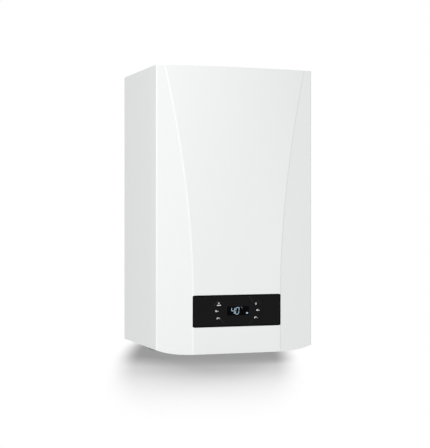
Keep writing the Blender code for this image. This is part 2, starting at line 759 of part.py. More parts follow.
def make_rear_frame():
    """The back sheet, flanged all round, with the two slots that hang on the hooks."""
    frame = block("rear_frame", "galvanised",
                  (-INNER_HALF_WIDTH, -REAR_BACK - REAR_FLANGE, CHASSIS_BOTTOM),
                  (INNER_HALF_WIDTH, -REAR_BACK, CHASSIS_TOP))
    carve(frame, block("hollow", "galvanised",
                       (-INNER_HALF_WIDTH + SHEET, -REAR_BACK - REAR_FLANGE - CUT_OVERRUN,
                        CHASSIS_BOTTOM + SHEET),
                       (INNER_HALF_WIDTH - SHEET, -REAR_FRONT, CHASSIS_TOP - SHEET)))
    top = HOOK_METAL / 2 + FACE_GAP
    for side in (-1, 1):
        half = HOOK_WIDTH / 2 + HOOK_SLOT_PLAY
        carve(frame, block("slot", "galvanised",
                           (side * HOOK_OFFSET - half, -REAR_FRONT - CUT_OVERRUN,
                            top - HOOK_METAL - HOOK_RISE - HOOK_SLOT_PLAY),
                           (side * HOOK_OFFSET + half, -REAR_BACK + CUT_OVERRUN, top)))


def make_top_panel():
    inset = COVER_WALL + COVER_TUCK + RISER_HEIGHT
    half = [(x, y + inset) for x, y in cover_row(SIDE_HEIGHT - PANEL_RECESS)]
    half = [(x, y) for x, y in half if x < INNER_HALF_WIDTH - FOLD_RADIUS]
    half.append((INNER_HALF_WIDTH, half[-1][1] + FOLD_RADIUS))
    half.append((INNER_HALF_WIDTH, -REAR_BACK))
    outline = [(-x, y) for x, y in reversed(half[1:])] + half
    panel = extruded("top_panel", "galvanised", outline, "Z", PANEL_TOP - SHEET, PANEL_TOP)
    carve(panel, cylinder("hole", "galvanised", "Z", (0, -FLUE_DEPTH), AIR_RADIUS - COLLAR_WALL,
                          PANEL_TOP - SHEET - CUT_OVERRUN, PANEL_TOP + CUT_OVERRUN))


def make_bottom_plate():
    plate = block("bottom_plate", "galvanised",
                  (-INNER_HALF_WIDTH, -INNER_FRONT, FLOOR_BOTTOM),
                  (INNER_HALF_WIDTH, -REAR_BACK, FLOOR_TOP))
    tab_low = SIDE_BOTTOM + COVER_WALL + FACE_GAP
    front = -COVER_SCREW_DEPTH - SCREW_TAB_HALF
    back = -COVER_SCREW_DEPTH + SCREW_TAB_HALF
    for side in (-1, 1):
        outer = side * INNER_HALF_WIDTH
        inner = outer - side * SCREW_TAB_WIDTH
        web_x = sorted((inner, inner + side * SHEET))
        tab_x = sorted((inner, outer))
        fuse(plate,
             block("web", "galvanised", (web_x[0], front, tab_low),
                   (web_x[1], back, FLOOR_TOP - SHEET / 2)),
             block("tab", "galvanised", (tab_x[0], front, tab_low),
                   (tab_x[1], back, tab_low + SHEET)))
        x = side * COVER_SCREW_X
        half = COVER_SCREW_RADIUS + HOLE_GAP
        carve(plate, block("notch", "galvanised",
                           (x - half, front - CUT_OVERRUN, tab_low - CUT_OVERRUN),
                           (x + half, -COVER_SCREW_DEPTH + half,
                            tab_low + SHEET + CUT_OVERRUN)))
    holes = [(place * STUB_SPACING, -STUB_DEPTH, radius) for _, place, radius, _, _ in STUBS]
    holes.append((TRAP_X, -TRAP_DEPTH, TRAP_NECK))
    holes.append((GLAND_X, -GLAND_DEPTH, GLAND_RADIUS))
    holes.append((TAP_X, -TAP_DEPTH, TAP_BODY_RADIUS))
    for x, y, radius in holes:
        carve(plate, cylinder("hole", "galvanised", "Z", (x, y), radius + HOLE_GAP,
                              FLOOR_BOTTOM - CUT_OVERRUN, FLOOR_TOP + CUT_OVERRUN,
                              SIDES_SMALL))


def make_flue():
    base = PANEL_TOP + FACE_GAP
    flange_top = base + COLLAR_FLANGE_THICKNESS
    inner = AIR_RADIUS - COLLAR_WALL
    outer = AIR_RADIUS + COLLAR_FLANGE
    turned("flue_collar", "galvanised", "Z", (0, -FLUE_DEPTH),
           [(inner, base), (inner, COLLAR_TOP), (AIR_RADIUS, COLLAR_TOP),
            (AIR_RADIUS, flange_top), (outer, flange_top), (outer, base)], closed=True)
    low = FLUE_SPIGOT_TOP + FACE_GAP
    high = COLLAR_TOP - FLUE_TOP_DROP
    bore = FLUE_RADIUS - FLUE_SHEET
    turned("flue_duct", "stainless", "Z", (0, -FLUE_DEPTH),
           [(bore, low), (bore, high), (FLUE_RADIUS, high), (FLUE_RADIUS, low)], closed=True)
    reach = AIR_RADIUS + COLLAR_FLANGE / 2
    for side, name in ((-1, "flue"), (1, "air")):
        place = (side * reach * math.sin(SAMPLE_CAP_ANGLE),
                 -FLUE_DEPTH - reach * math.cos(SAMPLE_CAP_ANGLE))
        stem = SAMPLE_CAP_RADIUS * SAMPLE_CAP_STEM_share
        low = flange_top + FACE_GAP
        high = low + SAMPLE_CAP_HEIGHT
        step = high - SAMPLE_CAP_HEIGHT * SAMPLE_CAP_RIM_share
        turned(f"{name}_sampling_cap", "black_plastic", "Z", place,
               [(0, low), (stem, low), (stem, step),
                (SAMPLE_CAP_RADIUS, step), (SAMPLE_CAP_RADIUS, high), (0, high)],
               SIDES_SMALL, origin=(*place, low))


def make_heat_exchanger():
    """The shell of the heat cell, with its flue, flow and return spigots, and its coil."""
    shell = cylinder("heat_exchanger", "stainless", "Y", (CELL_X, CELL_Z), CELL_RADIUS,
                     -CELL_FRONT, -CELL_BACK)
    fuse(shell,
         cylinder("flue", "stainless", "Z", (0, -FLUE_DEPTH), FLUE_RADIUS, CELL_Z,
                  FLUE_SPIGOT_TOP),
         cylinder("flow", "stainless", "Z", (FLOW_SPIGOT_X, -STUB_DEPTH), SPIGOT_RADIUS,
                  SPIGOT_BOTTOM, CELL_Z, SIDES_SMALL),
         cylinder("return", "stainless", "Z", (RETURN_SPIGOT_X, -STUB_DEPTH), SPIGOT_RADIUS,
                  SPIGOT_BOTTOM, CELL_Z, SIDES_SMALL),
         cylinder("drain", "stainless", "Z", (HOSE_X, -HOSE_DEPTH), HOSE_RADIUS,
                  SPIGOT_BOTTOM, CELL_Z, SIDES_SMALL))
    carve(shell,
          cylinder("cavity", "stainless", "Y", (CELL_X, CELL_Z), CELL_BORE,
                   -CELL_FRONT - CUT_OVERRUN, -CELL_BACK - CELL_BACK_WALL),
          cylinder("outlet", "stainless", "Z", (0, -FLUE_DEPTH), FLUE_RADIUS - FLUE_SHEET,
                   CELL_Z, FLUE_SPIGOT_TOP + CUT_OVERRUN))
    radius = CELL_BORE * math.cos(math.pi / SIDES) - COIL_TUBE - FACE_GAP
    start = -CELL_BACK - CELL_BACK_WALL - COIL_TUBE - FACE_GAP
    route = []
    for step in range(COIL_TURNS * COIL_STEPS + 1):
        turn = math.tau * step / COIL_STEPS
        route.append((CELL_X + radius * math.cos(turn), start - COIL_SPACING * step / COIL_STEPS,
                      CELL_Z + radius * math.sin(turn)))
    swept("exchanger_coil", "stainless", route, COIL_TUBE, sides=COIL_SIDES)


def make_burner():
    boss = DOOR_FRONT - DOOR_BOSS_HEIGHT
    door = turned("burner_door", "cast_alloy", "Y", (CELL_X, CELL_Z),
                  [(0, DOOR_BACK), (DOOR_RADIUS, DOOR_BACK), (DOOR_RADIUS, DOOR_FRONT),
                   (DOOR_BOSS_RADIUS, DOOR_FRONT), (DOOR_BOSS_RADIUS, boss), (0, boss)])
    place = (CELL_X + ELECTRODE_OFFSET * math.cos(ELECTRODE_TURN),
             CELL_Z + ELECTRODE_OFFSET * math.sin(ELECTRODE_TURN))
    carve(door, cylinder("hole", "cast_alloy", "Y", place, ELECTRODE_RADIUS + HOLE_GAP,
                         DOOR_FRONT - CUT_OVERRUN, DOOR_BACK + CUT_OVERRUN, SIDES_SMALL))
    for index in range(DOOR_NUTS):
        turn = math.tau * (index + 0.5) / DOOR_NUTS
        reach = DOOR_RADIUS - DOOR_NUT_INSET
        nut = (CELL_X + reach * math.cos(turn), CELL_Z + reach * math.sin(turn))
        fuse(door, cylinder("nut", "cast_alloy", "Y", nut, DOOR_NUT_RADIUS,
                            DOOR_FRONT - DOOR_NUT_HEIGHT, DOOR_FRONT + DOOR_THICKNESS / 2, 6))
    front = DOOR_BACK + FACE_GAP
    flange = BURNER_RADIUS + BURNER_FLANGE
    turned("burner", "stainless", "Y", (CELL_X, CELL_Z),
           [(0, front), (flange, front), (flange, front + BURNER_FLANGE_THICKNESS),
            (BURNER_RADIUS, front + BURNER_FLANGE_THICKNESS),
            (BURNER_RADIUS, front + BURNER_LENGTH), (0, front + BURNER_LENGTH)])
    tip = DOOR_BACK + ELECTRODE_IN
    turned("ignition_electrode", "ceramic", "Y", place,
           [(0, DOOR_FRONT - ELECTRODE_OUT), (ELECTRODE_RADIUS, DOOR_FRONT - ELECTRODE_OUT),
            (ELECTRODE_RADIUS, DOOR_BACK), (ELECTRODE_ROD, DOOR_BACK), (ELECTRODE_ROD, tip),
            (0, tip)], SIDES_PIPE)


def make_fan():
    centre = (FAN_X, FAN_Z)
    housing = cylinder("fan_housing", "cast_alloy", "Y", centre, FAN_RADIUS, -FAN_FRONT,
                       -FAN_BACK)
    neck_centre = (-(FAN_FRONT + FAN_BACK) / 2, FAN_Z)
    fuse(housing, cylinder("neck", "cast_alloy", "X", neck_centre, FAN_NECK_RADIUS, FAN_X,
                           FAN_NECK_X, SIDES))
    carve(housing,
          cylinder("cavity", "cast_alloy", "Y", centre, FAN_BORE, -FAN_FRONT + FAN_WALL,
                   -FAN_BACK + CUT_OVERRUN),
          cylinder("inlet", "cast_alloy", "Y", centre, MIXER_THROAT, -FAN_FRONT - CUT_OVERRUN,
                   -FAN_FRONT + FAN_WALL + CUT_OVERRUN),
          cylinder("outlet", "cast_alloy", "X", neck_centre, FAN_NECK_RADIUS - FAN_WALL, FAN_X,
                   FAN_NECK_X + CUT_OVERRUN))
    low = -FAN_FRONT + FAN_WALL + SPIN_GAP
    high = -FAN_BACK - SPIN_GAP
    wheel = turned("fan_impeller", "black_plastic", "Y", centre,
                   [(0, high - IMPELLER_PLATE - IMPELLER_HUB),
                    (IMPELLER_HUB, high - IMPELLER_PLATE - IMPELLER_HUB),
                    (IMPELLER_HUB, high - IMPELLER_PLATE),
                    (IMPELLER_RADIUS, high - IMPELLER_PLATE), (IMPELLER_RADIUS, high),
                    (PUMP_SHAFT, high), (PUMP_SHAFT, -FAN_BACK), (0, -FAN_BACK)],
                   SIDES_SMALL, origin=(FAN_X, high, FAN_Z))
    for index in range(IMPELLER_BLADES):
        turn = math.tau * index / IMPELLER_BLADES
        outline = blade_outline(centre, turn, MIXER_THROAT, IMPELLER_RADIUS - BLADE_WALL)
        fuse(wheel, extruded("blade", "black_plastic", outline, "Y", low,
                             high - IMPELLER_PLATE / 2))
    seat = -FAN_BACK + FACE_GAP
    flange = seat + FAN_MOTOR_FLANGE
    end = flange + FAN_MOTOR_LENGTH
    turned("fan_motor", "black_plastic", "Y", centre,
           [(0, seat), (FAN_RADIUS, seat), (FAN_RADIUS, flange), (FAN_MOTOR_RADIUS, flange),
            (FAN_MOTOR_RADIUS, end), (0, end)])
    turned("gas_air_mixer", "cast_alloy", "Y", centre,
           [(MIXER_BORE, MIXER_FRONT), (MIXER_RADIUS, MIXER_FRONT),
            (MIXER_RADIUS, MIXER_SEAT), (MIXER_THROAT, MIXER_SEAT)], closed=True)
    swept("mixture_tube", "cast_alloy",
          bent_route([(FAN_NECK_X + FACE_GAP, neck_centre[0], FAN_Z),
                      (CELL_X, neck_centre[0], FAN_Z), (CELL_X, -MIX_TUBE_FRONT, FAN_Z),
                      (CELL_X, -MIX_TUBE_FRONT, CELL_Z),
                      (CELL_X, DOOR_FRONT - DOOR_BOSS_HEIGHT - FACE_GAP, CELL_Z)],
                     MIX_BEND),
          MIX_TUBE_RADIUS, MIX_TUBE_RADIUS - MIX_TUBE_WALL, SIDES_SMALL)


def blade_outline(centre, turn, inner, outer):
    """A straight radial blade seen along the wheel's axis."""
    half = BLADE_WALL / 2
    outline = []
    for reach, side in ((inner, -half), (outer, -half), (outer, half), (inner, half)):
        outline.append((centre[0] + reach * math.cos(turn) - side * math.sin(turn),
                        centre[1] + reach * math.sin(turn) + side * math.cos(turn)))
    return outline


def make_air_intake():
    swept("air_intake_pipe", "black_plastic",
          bent_route([(FAN_X, MIXER_FRONT - FACE_GAP, FAN_Z),
                      (FAN_X, -INTAKE_FRONT, FAN_Z), (FAN_X, -INTAKE_FRONT, INTAKE_TOP)],
                     INTAKE_BEND),
          INTAKE_RADIUS, INTAKE_RADIUS - SILENCER_WALL, SIDES_SMALL)
    low = INTAKE_TOP + FACE_GAP
    back = -INTAKE_FRONT + SILENCER_DEPTH / 2
    silencer = block("air_silencer", "black_plastic",
                     (FAN_X - SILENCER_WIDTH / 2, back - SILENCER_DEPTH, low),
                     (FAN_X + SILENCER_WIDTH / 2, back, low + SILENCER_HEIGHT), SILENCER_WALL)
    carve(silencer,
          block("hollow", "black_plastic",
                (FAN_X - SILENCER_WIDTH / 2 + SILENCER_WALL,
                 back - SILENCER_DEPTH + SILENCER_WALL, low + SILENCER_WALL),
                (FAN_X + SILENCER_WIDTH / 2 - SILENCER_WALL, back - SILENCER_WALL,
                 low + SILENCER_HEIGHT + CUT_OVERRUN)),
          cylinder("inlet", "black_plastic", "Z", (FAN_X, -INTAKE_FRONT),
                   INTAKE_RADIUS - SILENCER_WALL, low - CUT_OVERRUN,
                   low + SILENCER_WALL + CUT_OVERRUN, SIDES_SMALL))


def make_expansion_vessel():
    back = -REAR_FRONT - FACE_GAP
    outline = rounded_rectangle(VESSEL_HALF_WIDTH, VESSEL_BOTTOM, VESSEL_TOP, VESSEL_CORNER)
    inner = rounded_rectangle(VESSEL_HALF_WIDTH - VESSEL_SEAM, VESSEL_BOTTOM + VESSEL_SEAM,
                              VESSEL_TOP - VESSEL_SEAM, VESSEL_CORNER - VESSEL_SEAM)
    middle = back - VESSEL_DEPTH / 2
    vessel = extruded("expansion_vessel", "vessel_red", inner, "Y", back - VESSEL_DEPTH, back)
    fuse(vessel, extruded("seam", "vessel_red", outline, "Y", middle - VESSEL_SEAM / 2,
                          middle + VESSEL_SEAM / 2))
    pipe_y = -(BLOCK_BACK + PIPE_BEND)
    fuse(vessel, cylinder("pipe", "vessel_red", "Z", (BLOCK_OFFSET, pipe_y),
                          VESSEL_PIPE_RADIUS, BLOCK_TOP + FACE_GAP,
                          VESSEL_BOTTOM + VESSEL_CORNER, SIDES_PIPE))


def make_stubs():
    """The five connections under the case; two of them end the pipes that they carry."""
    for name, place, radius, bore, material in STUBS:
        hex_top = FLOOR_BOTTOM - FACE_GAP
        centre = (place * STUB_SPACING, -STUB_DEPTH)
        stub = cylinder(f"{name}_connection", material, "Z", centre, radius, STUB_BOTTOM,
                        STUB_TOP, SIDES_SMALL)
        fuse(stub, cylinder("hex", material, "Z", centre, STUB_HEX, hex_top - STUB_HEX_HEIGHT,
                            hex_top, 6))
        carve(stub, cylinder("bore", material, "Z", centre, bore, STUB_BOTTOM - CUT_OVERRUN,
                             STUB_BOTTOM + STUB_BORE_DEPTH, SIDES_SMALL))
        if name in STUB_ROUTES:
            pipe_radius, route = STUB_ROUTES[name]
            fuse(stub, swept("pipe", material, bent_route(route, PIPE_BEND), pipe_radius))


def make_hydraulic_blocks():
    half = BLOCK_WIDTH / 2
    for side, name in ((-1, "flow"), (1, "return")):
        x = side * BLOCK_OFFSET
        body = block(f"{name}_block", "brass", (x - half, -BLOCK_FRONT, BLOCK_BOTTOM),
                     (x + half, -BLOCK_BACK, BLOCK_TOP), BLOCK_EDGE)
        if side < 0:
            carve(body, cylinder("stem_bore", "brass", "X", (-FLOW_PIPE_DEPTH, BLOCK_MID),
                                 STEM_RADIUS + FACE_GAP, x - half - CUT_OVERRUN,
                                 x - half + STEM_BORE_DEPTH, SIDES_SMALL))
            fuse(body, cylinder("relief", "brass", "Y", (x, BLOCK_MID), RELIEF_RADIUS,
                                -BLOCK_FRONT - RELIEF_LENGTH, -BLOCK_FRONT + BLOCK_EDGE,
                                SIDES_SMALL))
        else:
            fuse(body,
                 cylinder("drain", "brass", "Y", (x, BLOCK_MID), DRAIN_RADIUS,
                          -BLOCK_FRONT - DRAIN_LENGTH, -BLOCK_FRONT + BLOCK_EDGE,
                          SIDES_SMALL),
                 cylinder("sensor", "brass", "X", (-STUB_DEPTH, BLOCK_MID), SENSOR_RADIUS,
                          x + half - BLOCK_EDGE, x + half + SENSOR_LENGTH, SIDES_SMALL))
    reach = BLOCK_OFFSET - half - FACE_GAP
    low = BLOCK_BOTTOM - (PLATES_HEIGHT - BLOCK_HEIGHT) / 2
    stack = block("plate_heat_exchanger", "stainless", (-reach, -PLATES_FRONT, low),
                  (reach, -BLOCK_BACK, low + PLATES_HEIGHT))
    pitch = (PLATES_FRONT - BLOCK_BACK) / PLATES_RIBS
    for index in range(1, PLATES_RIBS):
        y = -BLOCK_BACK - pitch * index
        for z in (low, low + PLATES_HEIGHT):
            carve(stack, block("groove", "stainless",
                               (-reach - CUT_OVERRUN, y - PLATES_RIB / 2, z - PLATES_RIB),
                               (reach + CUT_OVERRUN, y + PLATES_RIB / 2, z + PLATES_RIB)))


def make_pump():
    centre = (BLOCK_OFFSET, PUMP_Z)
    back = -PUMP_FRONT + PUMP_DEPTH
    body = cylinder("pump_body", "cast_alloy", "Y", centre, PUMP_RADIUS, -PUMP_FRONT, back)
    fuse(body,
         cylinder("suction", "cast_alloy", "Z", (BLOCK_OFFSET, -STUB_DEPTH), PUMP_NECK,
                  BLOCK_TOP + FACE_GAP, PUMP_Z, SIDES_SMALL),
         cylinder("delivery", "cast_alloy", "Z", (BLOCK_OFFSET, -STUB_DEPTH), PUMP_NECK,
                  PUMP_Z, PUMP_Z + PUMP_RADIUS + PUMP_LIFT, SIDES_SMALL))
    carve(body, cylinder("cavity", "cast_alloy", "Y", centre, PUMP_RADIUS - PUMP_WALL,
                         -PUMP_FRONT - CUT_OVERRUN, back - PUMP_WALL))
    radius = PUMP_RADIUS - PUMP_WALL - SPIN_GAP
    high = back - PUMP_WALL - SPIN_GAP
    plate = high - IMPELLER_PLATE
    wheel = turned("pump_impeller", "black_plastic", "Y", centre,
                   [(0, -PUMP_FRONT), (PUMP_SHAFT, -PUMP_FRONT), (PUMP_SHAFT, plate),
                    (radius, plate), (radius, high), (0, high)], SIDES_SMALL,
                   origin=(BLOCK_OFFSET, high, PUMP_Z))
    for index in range(PUMP_BLADES):
        turn = math.tau * index / PUMP_BLADES
        outline = blade_outline(centre, turn, PUMP_SHAFT / 2, radius - BLADE_WALL)
        fuse(wheel, extruded("blade", "black_plastic", outline, "Y",
                             -PUMP_FRONT + SPIN_GAP, high - IMPELLER_PLATE / 2))
    seat = -PUMP_FRONT - FACE_GAP
    flange = seat - PUMP_WALL
    end = flange - PUMP_MOTOR_LENGTH
    turned("pump_motor", "black_plastic", "Y", centre,
           [(0, seat), (PUMP_RADIUS, seat), (PUMP_RADIUS, flange), (PUMP_MOTOR_RADIUS, flange),
            (PUMP_MOTOR_RADIUS, end), (0, end)])
    swept("return_pipe", "copper",
          [(BLOCK_OFFSET, -STUB_DEPTH, PUMP_Z + PUMP_RADIUS + PUMP_LIFT + FACE_GAP),
           (RETURN_SPIGOT_X, -STUB_DEPTH, SPIGOT_BOTTOM - FACE_GAP)], PIPE_WIDE)


def make_water_pipes():
    swept("flow_pipe", "copper",
          bent_route([(FLOW_SPIGOT_X, -STUB_DEPTH, SPIGOT_BOTTOM - FACE_GAP),
                      (FLOW_SPIGOT_X, -STUB_DEPTH, FLOW_PIPE_LEVEL),
                      (-BLOCK_OFFSET, -FLOW_PIPE_DEPTH, FLOW_PIPE_LEVEL),
                      (-BLOCK_OFFSET, -FLOW_PIPE_DEPTH, BLOCK_TOP + FACE_GAP)], PIPE_BEND),
          PIPE_WIDE)
    low = STUB_TOP + FACE_GAP
    high = low + TURBINE_HEIGHT
    centre = (STUB_SPACING, -STUB_DEPTH)
    turned("flow_turbine_housing", "brass", "Z", centre,
           [(TURBINE_BORE, low), (TURBINE_RADIUS, low), (TURBINE_RADIUS, high),
            (TURBINE_BORE, high)], SIDES_SMALL, closed=True)
    rotor_low = low + TURBINE_LIFT
    rotor = cylinder("flow_turbine", "red_plastic", "Z", centre, PUMP_SHAFT / 2, low, high,
                     SIDES_PIPE, origin=(*centre, rotor_low))
    for index in range(TURBINE_BLADES):
        turn = math.tau * index / TURBINE_BLADES
        outline = blade_outline(centre, turn, 0, TURBINE_BORE - SPIN_GAP)
        fuse(rotor, extruded("blade", "red_plastic", outline, "Z", rotor_low,
                             rotor_low + TURBINE_ROTOR_HEIGHT))
    level = high + FACE_GAP + PIPE_BEND + PIPE_SLIM
    swept("cold_water_pipe", "copper",
          bent_route([(*centre, high + FACE_GAP), (*centre, level),
                      (STUB_SPACING, -PLATES_FRONT - FACE_GAP, level)], PIPE_BEND), PIPE_SLIM)


def lobed_outline(centre, radius):
    """The outline of a hand wheel whose rim dips between its lobes."""
    outline = []
    count = TAP_LOBES * TAP_LOBE_STEPS
    for step in range(count):
        turn = math.tau * step / count
        reach = radius - TAP_LOBE_DEPTH * (1 - math.cos(TAP_LOBES * turn)) / 2
        outline.append((centre[0] + reach * math.cos(turn), centre[1] + reach * math.sin(turn)))
    return outline


def make_hydraulic_fittings():
    x = -BLOCK_OFFSET
    low = BLOCK_TOP + FACE_GAP
    cap = low + VENT_HEIGHT
    turned("air_vent", "brass", "Z", (x, -VENT_DEPTH),
           [(0, low), (VENT_RADIUS, low), (VENT_RADIUS, cap), (VENT_CAP_RADIUS, cap),
            (VENT_CAP_RADIUS, cap + VENT_CAP_HEIGHT), (0, cap + VENT_CAP_HEIGHT)], SIDES_SMALL)
    end = -BLOCK_FRONT - RELIEF_LENGTH
    extruded("relief_valve_knob", "red_plastic",
             lobed_outline((x, BLOCK_MID), RELIEF_KNOB_RADIUS), "Y",
             end - FACE_GAP - RELIEF_KNOB_LENGTH, end - FACE_GAP, origin=(x, end, BLOCK_MID))
    x = BLOCK_OFFSET
    face = -BLOCK_FRONT - DRAIN_LENGTH - FACE_GAP
    handle = cylinder("drain_cock_handle", "blue_plastic", "Y", (x, BLOCK_MID), DRAIN_RADIUS,
                      face - DRAIN_HANDLE_THICKNESS, face, SIDES_SMALL,
                      origin=(x, face, BLOCK_MID))
    fuse(handle, block("lever", "blue_plastic",
                       (x - DRAIN_HANDLE_RADIUS, face - DRAIN_HANDLE_THICKNESS, BLOCK_MID),
                       (x + DRAIN_HANDLE_RADIUS, face, BLOCK_MID + DRAIN_HANDLE_REACH)))
    left = -BLOCK_OFFSET - BLOCK_WIDTH / 2
    cylinder("diverter_actuator", "black_plastic", "X", (-FLOW_PIPE_DEPTH, BLOCK_MID),
             ACTUATOR_RADIUS, left - FACE_GAP - ACTUATOR_LENGTH, left - FACE_GAP)
    cylinder("diverter_stem", "stainless", "X", (-FLOW_PIPE_DEPTH, BLOCK_MID), STEM_RADIUS,
             left, left + STEM_LENGTH, SIDES_SMALL, origin=(left, -FLOW_PIPE_DEPTH, BLOCK_MID))


def make_filling_tap():
    """The loop's valve: a body through the floor and a lobed hand wheel under it."""
    centre = (TAP_X, -TAP_DEPTH)
    neck = FLOOR_BOTTOM - TAP_NECK_BELOW
    flange = FLOOR_TOP + FACE_GAP
    turned("filling_tap", "brass", "Z", centre,
           [(0, neck), (TAP_BODY_RADIUS, neck), (TAP_BODY_RADIUS, flange),
            (TAP_HEAD_RADIUS, flange),
            (TAP_HEAD_RADIUS, flange + TAP_BODY_ABOVE), (0, flange + TAP_BODY_ABOVE)],
           SIDES_SMALL)
    extruded("filling_tap_knob", "blue_plastic", lobed_outline(centre, TAP_KNOB_RADIUS), "Z",
             neck - FACE_GAP - TAP_KNOB_HEIGHT, neck - FACE_GAP, origin=(*centre, neck))


def make_gas_path():
    left = VALVE_RIGHT - VALVE_WIDTH
    centre_x = (left + VALVE_RIGHT) / 2
    valve = block("gas_valve", "cast_alloy", (left, -VALVE_FRONT, VALVE_TOP - VALVE_HEIGHT),
                  (VALVE_RIGHT, -VALVE_BACK, VALVE_TOP), BLOCK_EDGE)
    fuse(valve, cylinder("solenoid", "cast_alloy", "Z",
                         (centre_x, -(VALVE_FRONT + VALVE_BACK) / 2), VALVE_COIL_RADIUS,
                         VALVE_TOP - VALVE_HEIGHT - VALVE_COIL_LENGTH,
                         VALVE_TOP - VALVE_HEIGHT / 2, SIDES_SMALL))
    mixer_y = (MIXER_SEAT + MIXER_FRONT) / 2
    top = FAN_Z - MIXER_RADIUS - FACE_GAP
    swept("gas_feed_pipe", "stainless",
          bent_route([(FAN_X, -VALVE_FRONT - FACE_GAP, GAS_OUT_LEVEL),
                      (FAN_X, mixer_y, GAS_OUT_LEVEL),
                      (FAN_X, mixer_y, top)], PIPE_BEND), GAS_OUT_RADIUS)


def make_condensate_trap():
    centre = (TRAP_X, -TRAP_DEPTH)
    neck_low = FLOOR_BOTTOM - TRAP_NECK_BELOW
    flange = FLOOR_TOP + FACE_GAP
    turned("condensate_trap", "grey_plastic", "Z", centre,
           [(0, neck_low), (TRAP_NECK, neck_low), (TRAP_NECK, flange), (TRAP_RADIUS, flange),
            (TRAP_RADIUS, TRAP_TOP), (0, TRAP_TOP)])
    high = neck_low - FACE_GAP
    turned("condensate_trap_cup", "grey_plastic", "Z", centre,
           [(0, high - TRAP_CUP_HEIGHT), (TRAP_RADIUS * TRAP_CUP_FOOT_share, high - TRAP_CUP_HEIGHT),
            (TRAP_RADIUS, high - TRAP_CUP_HEIGHT * TRAP_CUP_WALL_share), (TRAP_RADIUS, high), (0, high)],
           origin=(*centre, high))
    swept("condensate_hose", "black_plastic",
          bent_route([(HOSE_X, -HOSE_DEPTH, SPIGOT_BOTTOM - FACE_GAP),
                      (HOSE_X, -HOSE_DEPTH, HOSE_LEVEL), (TRAP_X, -TRAP_DEPTH, HOSE_LEVEL),
                      (TRAP_X, -TRAP_DEPTH, TRAP_TOP + FACE_GAP)], HOSE_BEND), HOSE_RADIUS)


def make_control_box():
    """The box that holds the electronics; its lug turns on a rod carried by two brackets."""
    box = block("control_box", "black_plastic", (-BOX_HALF_WIDTH, -BOX_FRONT, BOX_BOTTOM),
                (BOX_HALF_WIDTH, -BOX_BACK, BOX_TOP))
    carve(box, block("hollow", "black_plastic",
                     (-BOX_HALF_WIDTH + BOX_WALL, -BOX_FRONT - CUT_OVERRUN,
                      BOX_BOTTOM + BOX_WALL),
                     (BOX_HALF_WIDTH - BOX_WALL, BOX_INNER_BACK, BOX_TOP - BOX_WALL)))
    fuse(box, block("lug", "black_plastic",
                    (-BOX_HALF_WIDTH, HINGE_Y - HINGE_LUG_DEPTH / 2,
                     BOX_BOTTOM - HINGE_LUG_DROP),
                    (BOX_HALF_WIDTH, HINGE_Y + HINGE_LUG_DEPTH / 2, BOX_BOTTOM + BOX_WALL / 2)))
    for place_x in (-1, 1):
        for place_z in (BOX_BOTTOM, BOX_TOP):
            inward = BOARD_MARGIN + BOARD_BOSS_RADIUS * 2
            z = place_z + inward if place_z == BOX_BOTTOM else place_z - inward
            fuse(box, cylinder("boss", "black_plastic", "Y",
                               (place_x * (BOX_HALF_WIDTH - inward), z), BOARD_BOSS_RADIUS,
                               BOARD_BACK + FACE_GAP, BOX_INNER_BACK + BOX_WALL / 2,
                               SIDES_PIPE))
    carve(box, cylinder("bore", "black_plastic", "X", (HINGE_Y, HINGE_Z),
                        HINGE_ROD_RADIUS + FACE_GAP, -BOX_HALF_WIDTH - CUT_OVERRUN,
                        BOX_HALF_WIDTH + CUT_OVERRUN, SIDES_SMALL))
    lid = block("control_box_lid", "black_plastic", (-BOX_HALF_WIDTH, LID_FRONT, BOX_BOTTOM),
                (BOX_HALF_WIDTH, LID_BACK, BOX_TOP))
    inset = BOX_WALL + HOLE_GAP
    fuse(lid, block("lip", "black_plastic",
                    (-BOX_HALF_WIDTH + inset, LID_FRONT + LID_THICKNESS / 2,
                     BOX_BOTTOM + inset),
                    (BOX_HALF_WIDTH - inset, LID_BACK + LID_LIP, BOX_TOP - inset)))
    rod_end = BOX_HALF_WIDTH + FACE_GAP + HINGE_BRACKET_WIDTH
    hinge = cylinder("control_box_hinge", "galvanised", "X", (HINGE_Y, HINGE_Z),
                     HINGE_ROD_RADIUS, -rod_end, rod_end, SIDES_SMALL)
    for side in (-1, 1):
        ends = sorted((side * (rod_end - HINGE_BRACKET_WIDTH), side * rod_end))
        fuse(hinge, block("cheek", "galvanised",
                          (ends[0], HINGE_Y - HINGE_BRACKET_DEPTH / 2 + HINGE_SETBACK,
                           FLOOR_TOP + FACE_GAP),
                          (ends[1], HINGE_Y + HINGE_BRACKET_DEPTH / 2 + HINGE_SETBACK,
                           HINGE_Z + HINGE_LUG_DROP / 2)))


